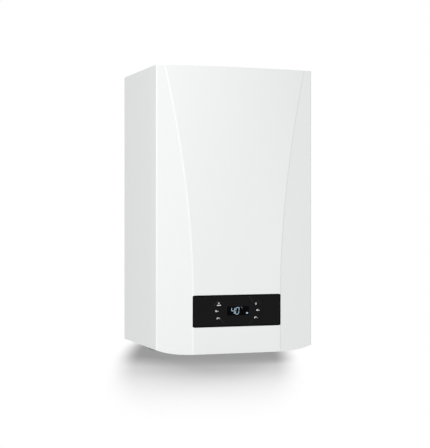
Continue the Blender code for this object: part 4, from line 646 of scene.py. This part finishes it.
def add_turned(bm, axis, centre, profile, sides=ROUND_SIDES, closed=False):
    """Solid of revolution: centre is its two places across the axis, profile (radius, along)."""
    first, second, along = AXES[axis]
    rings = []
    for radius, height in profile:
        ring_verts = []
        for step in range(sides if radius else 1):
            angle = math.tau * step / sides
            place = [0, 0, 0]
            place[first] = (centre[0] + radius * math.cos(angle)) * MM
            place[second] = (centre[1] + radius * math.sin(angle)) * MM
            place[along] = height * MM
            ring_verts.append(bm.verts.new(place))
        rings.append(ring_verts)
    for low, high in zip(rings, rings[1:] + (rings[:1] if closed else [])):
        for step in range(sides):
            after = (step + 1) % sides
            corners = [low[step % len(low)], low[after % len(low)],
                       high[after % len(high)], high[step % len(high)]]
            corners = list(dict.fromkeys(corners))
            if len(corners) > 2:
                bm.faces.new(corners)
    for ring_verts in () if closed else (rings[0], rings[-1]):
        if len(ring_verts) > 1:
            bm.faces.new(ring_verts)


def add_box(bm, low, high, turn=0.0, pivot=(0, 0)):
    """Box between two corners, turned about an axis along Y through pivot (x, z)."""
    corners = []
    for x in (low[0], high[0]):
        for y in (low[1], high[1]):
            for z in (low[2], high[2]):
                aside, up = x - pivot[0], z - pivot[1]
                place = (pivot[0] + aside * math.cos(turn) - up * math.sin(turn), y,
                         pivot[1] + aside * math.sin(turn) + up * math.cos(turn))
                corners.append(bm.verts.new([value * MM for value in place]))
    for face in ((0, 1, 3, 2), (4, 6, 7, 5), (0, 4, 5, 1), (2, 3, 7, 6), (0, 2, 6, 4),
                 (1, 5, 7, 3)):
        bm.faces.new([corners[index] for index in face])


# Screw: radius and rise as shares of its size, then a further rise
SCREW_WASHER = ((0, 0, -EMBED), (1.5, 0, -EMBED), (1.5, 0, 0.7), (1.2, 0, 1), (0, 0, 1))
SCREW_HEAD = ((0, 0, 0), (1, 0, 0), (1, 0.8, 0.4), (0.86, 0.8, 0.9), (0.5, 0.8, 0.9),
              (0.45, 0.8, 0.1), (0, 0.8, 0.1))
WASHER_SIDES = 20


def add_screw(bm, axis, centre, seat, out, size):
    """Hex head on its washer; out is +1 or -1 along the axis."""
    for table, sides in ((SCREW_WASHER, WASHER_SIDES), (SCREW_HEAD, NUT_SIDES)):
        profile = [(size * radius, seat + out * (size * share + rise))
                   for radius, share, rise in table]
        add_turned(bm, axis, centre, profile, sides)


# Union nut and its collar: radius as a share of the nut's (0 is the bore), and share of height
NUT = ((0, 0), (0.9, 0), (1, 0.12), (1, 0.88), (0.9, 1), (0, 1))
NUT_COLLAR = ((0, -0.12), (0.84, -0.12), (0.84, 1.12), (0, 1.12))
CLIP_EDGE = 1.1
CLIP_MIDDLE = 0.7
CLIP_ROLL = 1


def add_nut(bm, axis, centre, bore, radius, low, high):
    for table, sides in ((NUT, NUT_SIDES), (NUT_COLLAR, ROUND_SIDES)):
        profile = [(radius * share or bore, low + (high - low) * rise) for share, rise in table]
        add_turned(bm, axis, centre, profile, sides, True)


def add_clip(bm, axis, centre, bore, low, high):
    """Hose band with its rolled edges."""
    edge, middle = bore + CLIP_EDGE, bore + CLIP_MIDDLE
    add_turned(bm, axis, centre, [(bore, low), (edge, low), (middle, low + CLIP_ROLL),
                                  (middle, high - CLIP_ROLL), (edge, high), (bore, high)],
               closed=True)


BEAD_RISE = 2.5
BEAD_SLOPE = 3.0
BEAD_STEPS = 4
BEAD_CORNER_STEPS = 8
RING_BEAD_HALF = 2.5
RING_BEAD_RISE = 1.6
RING_BEAD_STEPS = 6


def add_bead(bm, left, right, low, high, seat):
    """Pressed bead: a stadium that swells from the sheet face at y = seat."""
    rings = []
    width = min(right - left, high - low) / 2
    for step in range(BEAD_STEPS + 1):
        turn = math.pi / 2 * step / BEAD_STEPS
        inset = BEAD_SLOPE * (1 - math.cos(turn))
        outline = rounded_outline(left + inset, right - inset, low + inset, high - inset,
                                  width - inset, BEAD_CORNER_STEPS)
        level = seat + BEAD_RISE * math.sin(turn) - (0 if step else EMBED)
        rings.append([bm.verts.new((x * MM, level * MM, z * MM)) for x, z in outline])
    bridge(bm, rings)
    bmesh.ops.remove_doubles(bm, verts=[vert for ring_verts in rings for vert in ring_verts],
                             dist=SLIVER)


def add_ring_bead(bm, outline, seat):
    """Half-round bead along a closed outline of (x, z) on a face at y = seat."""
    rings = []
    for index, (x, z) in enumerate(outline):
        aside = across(outline[index - 1], outline[(index + 1) % len(outline)])
        section = []
        for step in range(RING_BEAD_STEPS + 1):
            turn = math.pi * step / RING_BEAD_STEPS
            shift = RING_BEAD_HALF * math.cos(turn)
            level = seat + EMBED - RING_BEAD_RISE * math.sin(turn)
            section.append(bm.verts.new(((x + aside.x * shift) * MM, level * MM,
                                         (z + aside.y * shift) * MM)))
        rings.append(section)
    bridge(bm, rings, True)


def both_sides(*places):
    """Places (x, second) and their mirror images in x."""
    return [(side * x, second) for side in (-1, 1) for x, second in places]


def around(centre, radius, count, start=0.0):
    """Places evenly round a circle, from a start in degrees."""
    turns = [math.radians(start) + math.tau * index / count for index in range(count)]
    return [(centre[0] + radius * math.cos(turn), centre[1] + radius * math.sin(turn))
            for turn in turns]


# Shapes for add_fitting: each is a function and its values
def screws(places, axis, seat, out, size=3.5):
    return [(add_screw, axis, place, seat, out, size) for place in places]


def turned(axis, places, profile, sides=ROUND_SIDES, closed=False):
    return [(add_turned, axis, place, profile, sides, closed) for place in places]


def spokes(centre, count, start, reach, levels, half):
    """Boxes like spokes: reach is along the radius, levels in y, half the thickness."""
    return [(add_box, (centre[0] + reach[0], levels[0], centre[1] - half),
             (centre[0] + reach[1], levels[1], centre[1] + half),
             math.radians(start) + math.tau * index / count, centre) for index in range(count)]


BACK_FACE = -10.5
BACK_BEADS = ((-144, -126, -560, -60), (-54, -36, -560, -60), (36, 54, -560, -60),
              (126, 144, -560, -60), (-170, 170, -590, -574))
FOOT = ((0, -10.8), (11, -10.8), (11, -7), (8, -6), (7, -2), (5.5, -1), (0, -1))
# Seal under the cover's top: its levels, then in metres its places inside the cover
SEAL_LEVELS = (47, 50.6)
SEAL_DROP = 0.013
SEAL_GAP = 0.0036
SEAL_TURN = 0.192
SEAL_SIDE = 0.1962
SEAL_BACK = -0.013
SEAL_STEP = 0.004
SEAL_STRAIGHT = -0.02
SEAL_WIDTH = 0.006
SEAL_NARROWING = 0.965


def add_seal(bm):
    low, high = SEAL_LEVELS
    half = [(x, y + SEAL_GAP) for x, y in cover_half_row(SIDE_HEIGHT - SEAL_DROP)
            if x < SEAL_TURN]
    half += [(SEAL_SIDE, half[-1][1] + SEAL_STEP), (SEAL_SIDE, SEAL_BACK)]
    sections = []
    for x, y in [(-x, y) for x, y in reversed(half[1:])] + half:
        inner = (x * SEAL_NARROWING, min(y + SEAL_WIDTH, SEAL_BACK) if y < SEAL_STRAIGHT else y)
        sections.append([bm.verts.new((*place, level * MM)) for place, level in
                         (((x, y), low), (inner, low), (inner, high), ((x, y), high))])
    bridge(bm, sections)


def make_casing_fittings():
    add_fitting("casing_screws", "zinc_screws",
                screws(both_sides((185, -24), (185, -150), (185, -262), (70, -22)),
                       "Z", seat=47, out=1)
                + screws(both_sides((185, -24), (185, -140), (70, -22), (30, -150)),
                         "Z", seat=-600.5, out=-1)
                + screws(around(FLUE_CENTRE, radius=58, count=4, start=31),
                         "Z", seat=49.3, out=1, size=2.8))
    add_fitting("rear_beads", "galvanised_sheet",
                [(add_bead, *places, BACK_FACE) for places in BACK_BEADS])
    add_fitting("wall_buffers", "black_plastic", turned("Y", both_sides((180, -520)), FOOT),
                material=RUBBER)
    add_fitting("top_seal", "black_plastic", [(add_seal,)], width=0.8, material=RUBBER)


# Damping sheet, in metres up from the side's lower edge
SHEET_START = 0.165
SHEET_LENGTH = 0.480
SHEET_HALF = 0.100
SHEET_GAIN = 0.045
SHEET_POWER = 1.8
SHEET_STEPS = 24
SHEET_LAYERS = (0.0001, 0.0031)


def make_damping_sheet():
    """Damping sheet stuck inside the middle of the cover, above the window."""
    bm = bmesh.new()
    rows = []
    for row_step in range(SHEET_STEPS + 1):
        height = SHEET_START + SHEET_LENGTH * row_step / SHEET_STEPS
        half = SHEET_HALF + SHEET_GAIN * (row_step / SHEET_STEPS) ** SHEET_POWER
        row = []
        for step in range(SHEET_STEPS + 1):
            x = half * (2 * step / SHEET_STEPS - 1)
            row.append((x, cover_y(abs(x), height) + COVER_WALL, SIDE_BOTTOM + height))
        rows.append(row)
    rims = []
    for depth in SHEET_LAYERS:
        layer = [[bm.verts.new((x, y + depth, z)) for x, y, z in row] for row in rows]
        for low, high in zip(layer, layer[1:]):
            for step in range(SHEET_STEPS):
                bm.faces.new((low[step], low[step + 1], high[step + 1], high[step]))
        rims.append(layer[0] + [row[-1] for row in layer[1:-1]] + list(reversed(layer[-1]))
                    + [row[0] for row in reversed(layer[1:-1])])
    for step in range(len(rims[0])):
        after = (step + 1) % len(rims[0])
        bm.faces.new((rims[0][step], rims[0][after], rims[1][after], rims[1][step]))
    add_piece("cover_damping_sheet", bm, DAMPING, "cover")


CELL_FLANGES = (((107.6, -225), (111, -225), (111, -221.5), (107.6, -220)),
                ((107.6, -100), (110, -99), (110, -95.5), (107.6, -95)))
CELL_SEAMS = (-202, -180, -136, -114)
SEAM_FOOT = 107.4
SEAM_RISE = 1.5
SEAM_WIDTH = 2.4
SEAM_STEPS = 6
# Ribs on the cell's door, as start in degrees and outer end; those at 45 stop at the nuts
DOOR_RIBS = ((15, 94), (45, 80), (75, 94))
DOOR_RING = ((96.5, -231), (96.5, -234), (101, -234), (101, -231))
ELECTRODE_CENTRE = (93.9, -176.0)
ELECTRODE_PLATE = ((5.3, -231), (11, -231), (11, -233.4), (5.3, -233.4))


def make_cell_fittings():
    seams = [[(SEAM_FOOT + SEAM_RISE * math.sin(math.pi * step / SEAM_STEPS),
               y + SEAM_WIDTH * (step / SEAM_STEPS - 0.5)) for step in range(SEAM_STEPS + 1)]
             for y in CELL_SEAMS]
    add_fitting("cell_seams", "stainless",
                [(add_turned, "Y", CELL_CENTRE, profile, FINE_SIDES, True)
                 for profile in (*CELL_FLANGES, *seams)])
    ribs = turned("Y", [CELL_CENTRE], DOOR_RING, FINE_SIDES, True)
    for start, end in DOOR_RIBS:
        ribs += spokes(CELL_CENTRE, count=4, start=start, reach=(25, end),
                       levels=(-234.2, -231), half=1.8)
    add_fitting("door_ribs", "cast_alloy", ribs, width=0.7)
    add_fitting("electrode_plate", "zinc_screws",
                turned("Y", [ELECTRODE_CENTRE], ELECTRODE_PLATE, closed=True)
                + screws(around(ELECTRODE_CENTRE, radius=8.2, count=2, start=28.6),
                         "Y", seat=-233.4, out=-1, size=1.8))


# Nuts: axis, centre, bore, radius, low and high; hose clips: axis, centre, bore, low and high
PIPE_NUTS = (
    ("Z", (128, -110), 9.1, 15.5, -328, -314), ("Z", (130, -110), 9.1, 15.5, -422.5, -409),
    ("Z", (0, -110), 9.1, 15.5, -328, -314), ("Z", (-130, -87.5), 9.1, 15.5, -532.5, -519),
    ("Z", (65, -110), 7.6, 12, -549.8, -544), ("Y", (-115, -468), 6.1, 10.5, -170.5, -161.5),
    ("Z", (-115, -210.3), 6.1, 10.5, -382.5, -373), ("Z", (130, -48), 5.1, 9, -533.5, -525))
BLOCK_PLUG = ((0, -535.3), (8, -535.3), (8, -530), (7, -529), (0, -529))
HOSE_CLIPS = (
    ("X", (-166, -345), 17.05, -43, -34), ("Z", SILENCER_CENTRE, 22.05, -166, -157),
    ("Y", FAN_CENTRE, 22.05, -235.2, -231.2), ("Z", (-10, -208), 6.05, -325, -317),
    ("Z", TRAP_CENTRE, 6.05, -498.5, -491))
CLIP_LOCKS = (((-43.5, -188, -349), (-33.5, -183, -341)),
              ((-119, -286, -166.5), (-111, -281, -156.5)),
              ((-14, -219, -325.5), (-6, -214, -316.5)),
              ((-172, -196, -499), (-164, -191, -490.5)))
# Threads of the stubs: name, slot, and x and root radius of each stub
STUB_THREADS = (("stub_threads", "brass", ((-130, 13.0), (0, 13.0), (65, 10.2), (130, 13.0))),
                ("hot_stub_thread", "copper", ((-65, 10.2),)))
STUB_Y = -110
THREAD_LOW = -631
THREAD_PITCH = 1.8
THREAD_TURNS = 10
THREAD_RISE = 0.7


def make_pipe_fittings():
    add_fitting("pipe_nuts", "brass", [(add_nut, *places) for places in PIPE_NUTS]
                + turned("Z", ((-130, -124), (130, -72)), BLOCK_PLUG, NUT_SIDES))
    add_fitting("hose_clips", "zinc_screws", [(add_clip, *places) for places in HOSE_CLIPS]
                + [(add_box, *corners) for corners in CLIP_LOCKS], width=0.4)


def make_stub_threads():
    for name, slot, stubs in STUB_THREADS:
        shapes = []
        for x, root in stubs:
            profile = [(root - EMBED, THREAD_LOW), (root, THREAD_LOW)]
            for step in range(THREAD_TURNS):
                low = THREAD_LOW + THREAD_PITCH * step
                profile += [(root + THREAD_RISE, low + THREAD_PITCH * 0.5),
                            (root, low + THREAD_PITCH)]
            profile.append((root - EMBED, THREAD_LOW + THREAD_PITCH * THREAD_TURNS))
            shapes += turned("Z", [(x, STUB_Y)], profile, closed=True)
        add_fitting(name, slot, shapes)


# Silencer box: its sides, bands as (low, high, rise), and ribs between them
SILENCER_X = (-153, -77)
SILENCER_Y = (-291, -227)
SILENCER_BANDS = ((-66, -59.7, 1.4), (-107, -103, 0.9), (-149.7, -144, 1.4))
SILENCER_RIBS = [((x, y - 1, -144), (x + 0.9, y + 1, -66))
                 for y in (-276, -259, -242) for x in (-153.9, -77)]
SILENCER_NECK = ((22.1, -153.6), (25, -153.6), (27, -149.9), (22.1, -149.9))


def add_silencer_band(bm, low, high, rise):
    (left, right), (front, back) = SILENCER_X, SILENCER_Y
    sections = []
    for x, y, out_x, out_y in ((left, front, -rise, -rise), (right, front, rise, -rise),
                               (right, back, rise, rise), (left, back, -rise, rise)):
        corners = ((x, y, low), (x + out_x, y + out_y, low), (x + out_x, y + out_y, high),
                   (x, y, high))
        sections.append([bm.verts.new([value * MM for value in place]) for place in corners])
    bridge(bm, sections, True)


def make_silencer_fittings():
    add_fitting("silencer_bands", "black_plastic",
                [(add_silencer_band, *places) for places in SILENCER_BANDS]
                + [(add_box, *corners) for corners in SILENCER_RIBS]
                + turned("Z", [SILENCER_CENTRE], SILENCER_NECK, closed=True), width=0.4)


FAN_RINGS = (((55, -189.8), (55, -191.6), (57.6, -191.6), (57.6, -189.8)),
             ((57.6, -179.2), (59.2, -179.2), (59.2, -176.8), (57.6, -176.8)),
             ((57.6, -155.2), (59.2, -155.2), (59.2, -152.8), (57.6, -152.8)))
# Pump, gas valve and fan: covers as boxes, coils, plugs and the vessel's air valve
COVER_BOXES = (((106, -192, -443), (154, -150, -425)), ((112, -195, -439), (128, -191.6, -430)),
               ((-127, -134, -394), (-103, -112, -377)), ((-123, -140, -391), (-107, -133.6, -382)),
               ((-158, -150, -470), (-147.2, -118, -446)))
PUMP_CAP = ((0, -197), (26, -197), (26, -199.4), (23, -200.4), (0, -200.4))
PUMP_PLUG = ((0, -200), (9, -200), (9, -202.4), (8, -203.2), (2.5, -203.2), (2.5, -202), (0, -202))
COIL = ((0, -159.8), (9.4, -159.8), (9.4, -172), (8.2, -174), (0, -174))
NIPPLE = ((0, -159.8), (3.2, -159.8), (3.2, -167), (2, -169), (0, -169))
AIR_VALVE = ((0, -80), (7.5, -80), (7.5, -83), (4.2, -83.4), (4.2, -92), (0, -92))
AIR_VALVE_CAP = ((0, -91.6), (5.4, -91.6), (5.4, -99), (4.4, -100.2), (0, -100.2))
VESSEL_FACE = -80.3
VESSEL_OUTLINE = (-128, 128, -362, -74)
VESSEL_CORNER = 34
VESSEL_INSETS = (0, 26)


def make_machine_fittings():
    add_fitting("machine_screws", "zinc_screws",
                screws(around(FAN_CENTRE, radius=52, count=6, start=30),
                       "Y", seat=-190, out=-1, size=2.6)
                + screws([(x, z) for x in (-142, -91) for z in (-441.5, -482.5)],
                         "Y", seat=-160, out=-1, size=2.4)
                + screws(around(PUMP_CENTRE, radius=33, count=4, start=45),
                         "Y", seat=-197.3, out=-1, size=2.4))
    add_fitting("fan_ribs", "cast_alloy",
                spokes(FAN_CENTRE, count=12, start=15, reach=(27, 46),
                       levels=(-191.8, -189.8), half=1.2)
                + [(add_turned, "Y", FAN_CENTRE, profile, FINE_SIDES, True)
                   for profile in FAN_RINGS], width=0.5)
    add_fitting("machine_covers", "black_plastic",
                spokes(PUMP_CENTRE, count=28, start=0, reach=(39, 42.4),
                       levels=(-188, -146), half=0.8)
                + turned("Y", [PUMP_CENTRE], PUMP_CAP, sides=48)
                + turned("Y", ((-135, -453), (-97, -453)), COIL, sides=24)
                + [(add_box, *corners) for corners in COVER_BOXES], width=0.7)
    add_fitting("machine_plugs", "brass",
                turned("Y", [PUMP_CENTRE], PUMP_PLUG, NUT_SIDES)
                + turned("Y", ((-126, -481), (-106, -481)), NIPPLE, sides=16)
                + turned("Y", [VALVE_CENTRE], AIR_VALVE, sides=24))
    left, right, low, high = VESSEL_OUTLINE
    outlines = [rounded_outline(left + inset, right - inset, low + inset, high - inset,
                                VESSEL_CORNER - inset / 2, BEAD_CORNER_STEPS)
                for inset in VESSEL_INSETS]
    add_fitting("vessel_beads", "vessel_red",
                [(add_ring_bead, outline, VESSEL_FACE) for outline in outlines])
    add_fitting("vessel_valve_cap", "black_plastic",
                turned("Y", [VALVE_CENTRE], AIR_VALVE_CAP, sides=20))


TRAP_GRIP = ((0, -620.5), (0.9, -620.5), (0.9, -613.4), (0, -613.4))
TRAP_BANDS = (-508, -540, -572)
TRAP_BAND = ((18.6, -2), (20, -1.4), (20, 1.4), (18.6, 2))
TRAP_NECK = ((6.2, -500), (10, -500), (8, -492.6), (6.2, -492.6))


def make_trap_fittings():
    add_fitting("trap_cup_grip", "grey_plastic",
                turned("Z", around(TRAP_CENTRE, radius=18.7, count=24), TRAP_GRIP, sides=8),
                "trap_cup")
    bands = turned("Z", [TRAP_CENTRE], TRAP_NECK, closed=True)
    for level in TRAP_BANDS:
        bands += turned("Z", [TRAP_CENTRE], [(radius, level + rise) for radius, rise in TRAP_BAND],
                        48, True)
    add_fitting("trap_bands", "grey_plastic", bands)


# Control box: places (x, z) and the box put there, then its grommets
BOX_RIBS = (([(x, 0) for x in range(-110, 111, 22)], ((-1, -215.7, -570), (1, -213.2, -462))),
            ([(x, 0) for x in (-96, -32, 32, 96)], ((-8, -285.2, -455.2), (8, -272, -452.6))),
            ([(x, 0) for x in (-96, -32, 32, 96)], ((-5, -273, -452.8), (5, -270.5, -450.8))),
            (((-132, -485), (-132, -545), (129.8, -485), (129.8, -545)),
             ((0, -285, -8), (2.2, -272, 8))))
GROMMETS = ((-77, -552), (-55, -552), (55, -552), (77, -552), (99, -552))
GROMMET = ((3, -215.2), (8, -215.2), (8, -212.5), (6, -211.5), (5, -205), (3, -205))


def make_control_fittings():
    ribs = [(add_box, *[(x + aside, y, z + up) for aside, y, up in corners])
            for places, corners in BOX_RIBS for x, z in places]
    add_fitting("control_box_ribs", "black_plastic", ribs, "control_unit", width=0.4)
    add_fitting("control_box_grommets", "black_plastic",
                turned("Y", GROMMETS, GROMMET, sides=24, closed=True), "control_unit",
                material=RUBBER)
    add_fitting("control_box_screws", "zinc_screws",
                screws(both_sides((122, -463), (122, -569)), "Y", seat=-285.3, out=-1, size=2.4),
                "control_unit")


# Studio: the lamps are placed by azimuth from the front, elevation and distance
AIM = (0, -0.15, -0.3)
WORLD_LEVEL = 0.53
FLOOR_DROP = 0.002
FLOOR_HALF = 8
FLOOR_BOUNCE = 0.45
FLOOR_TONE = 0.25
FLOOR_LEAST = 0.33
SHADOW_CENTRE = (-0.058, -0.245, 0)
SHADOW_STRETCH = 6
SHADOW_REACH = 0.16
WHITE_REACH = 0.224
# Painted contact shade on the floor: reach, strength and samples of the ambient occlusion that
# darkens its colour near things
CONTACT_SHADE_REACH = 0.2
CONTACT_SHADE_DEPTH = 6
CONTACT_SHADE_SAMPLES = 16
LAMPS = (
    ("key_lamp", -31, 8, 4.5, (1.8, 1.8), 108),
    ("floor_lamp", 156, 49, 8.0, (5.5, 6.2), 3100),
)


def seen_directly(tree):
    """One for camera, glossy and transmission rays, zero for the rest."""
    path = node(tree, "ShaderNodeLightPath").outputs
    seen = path["Is Camera Ray"]
    for ray in ("Is Glossy Ray", "Is Transmission Ray"):
        seen = node(tree, "ShaderNodeMath", {0: seen, 1: path[ray]}, operation="MAXIMUM").outputs[0]
    return seen


def mixed(tree, factor, first, second):
    return node(tree, "ShaderNodeMixShader", {0: factor, 1: first, 2: second}).outputs[0]


def glow(tree, strength, kind="ShaderNodeEmission"):
    return node(tree, kind, {"Color": (1, 1, 1, 1), "Strength": strength}).outputs[0]


def make_world():
    world = bpy.data.worlds.new("studio")
    world.use_nodes = True
    bpy.context.scene.world = world
    tree = world.node_tree
    tree.nodes.clear()
    shades = [glow(tree, level, "ShaderNodeBackground") for level in (WORLD_LEVEL, 1)]
    node(tree, "ShaderNodeOutputWorld", {"Surface": mixed(tree, seen_directly(tree), *shades)})


def make_floor():
    """Floor with the shadow in an oval, darker near things by painted contact shade, white beyond,
    clear from below.
    """
    bottom = CAD_BOUNDS[0][2] - FLOOR_DROP
    mesh = bpy.data.meshes.new("studio_floor")
    mesh.from_pydata([(x * FLOOR_HALF, y * FLOOR_HALF, bottom)
                      for x, y in ((-1, -1), (1, -1), (1, 1), (-1, 1))], [], [(0, 1, 2, 3)])
    floor = bpy.data.objects.new("studio_floor", mesh)
    bpy.context.scene.collection.objects.link(floor)
    material = bpy.data.materials.new("studio_floor")
    material.use_nodes = True
    tree = material.node_tree
    tree.nodes.clear()
    # Painted contact shade: ambient occlusion darkens the floor's colour near things, on top of the
    # floor lamp's shadow
    painted_shade_occlusion = node(tree, "ShaderNodeAmbientOcclusion", {"Distance": CONTACT_SHADE_REACH},
                    samples=CONTACT_SHADE_SAMPLES)
    painted_contact_shade = node(tree, "ShaderNodeMath", {0: painted_shade_occlusion.outputs["AO"], 1: CONTACT_SHADE_DEPTH},
                    operation="POWER")
    colour = blend(tree, painted_contact_shade.outputs[0], (0, 0, 0, 1), (FLOOR_TONE, FLOOR_TONE, FLOOR_TONE, 1))
    lit = node(tree, "ShaderNodeBsdfDiffuse", {"Color": colour})
    shown = node(tree, "ShaderNodeAddShader", {0: lit.outputs[0], 1: glow(tree, FLOOR_LEAST)})
    place = node(tree, "ShaderNodeTexCoord").outputs["Object"]
    oval = node(tree, "ShaderNodeMapping",
                {"Vector": place, "Location": SHADOW_CENTRE, "Rotation": (0, 0, -CAMERA_TURN),
                 "Scale": (1, SHADOW_STRETCH, 1)}, vector_type="TEXTURE")
    flat = node(tree, "ShaderNodeVectorMath", {0: oval.outputs["Vector"], 1: (1, 1, 0)},
                operation="MULTIPLY")
    length = node(tree, "ShaderNodeVectorMath", {0: flat.outputs[0]}, operation="LENGTH")
    fade = node(tree, "ShaderNodeMapRange",
                {"Value": length.outputs["Value"], "From Min": SHADOW_REACH,
                 "From Max": WHITE_REACH}, interpolation_type="SMOOTHSTEP")
    near = mixed(tree, fade.outputs["Result"], shown.outputs[0], glow(tree, 1))
    shade = mixed(tree, seen_directly(tree), glow(tree, FLOOR_BOUNCE), near)
    side = node(tree, "ShaderNodeNewGeometry").outputs["Backfacing"]
    clear = node(tree, "ShaderNodeBsdfTransparent").outputs[0]
    node(tree, "ShaderNodeOutputMaterial", {"Surface": mixed(tree, side, shade, clear)})
    mesh.materials.append(material)
    return floor


def make_lamps(floor):
    """The floor lamp lights only the floor, so its shadow is soft and nothing else is brighter."""
    for name, azimuth, elevation, distance, size, power in LAMPS:
        data = bpy.data.lights.new(name, "AREA")
        data.shape = "RECTANGLE"
        data.size, data.size_y = size
        data.energy = power
        lamp = bpy.data.objects.new(name, data)
        turn, rise = math.radians(azimuth), math.radians(elevation)
        aim = Vector(AIM)
        lamp.location = aim + distance * Vector((math.cos(rise) * math.sin(turn),
                                                 -math.cos(rise) * math.cos(turn),
                                                 math.sin(rise)))
        lamp.rotation_euler = (aim - lamp.location).to_track_quat("-Z", "Y").to_euler()
        bpy.context.scene.collection.objects.link(lamp)
        lit = bpy.data.collections.new(f"{name}_receivers")
        lit.objects.link(floor)
        if name != "floor_lamp":
            lit.collection_objects[0].light_linking.link_state = "EXCLUDE"
        lamp.light_linking.receiver_collection = lit


def make_camera():
    camera_data = bpy.data.cameras.new("photo_camera")
    camera_data.sensor_fit = "VERTICAL"
    camera_data.sensor_height = SENSOR
    camera_data.lens = FOCAL_PX / IMAGE_HEIGHT * SENSOR
    camera_data.shift_y = (HORIZON_PX - IMAGE_HEIGHT / 2) / IMAGE_HEIGHT
    camera = bpy.data.objects.new("photo_camera", camera_data)
    camera.location = CAMERA_PLACE
    camera.rotation_euler = (math.radians(90), 0, -CAMERA_TURN)
    bpy.context.scene.collection.objects.link(camera)
    bpy.context.scene.camera = camera


bpy.context.scene.view_settings.view_transform = "Standard"
make_camera()
dress_nodes()
make_cover()
make_glass()
make_display_marks()
make_casing_fittings()
make_damping_sheet()
make_cell_fittings()
make_pipe_fittings()
make_stub_threads()
make_silencer_fittings()
make_machine_fittings()
make_trap_fittings()
make_control_fittings()
make_world()
make_lamps(make_floor())
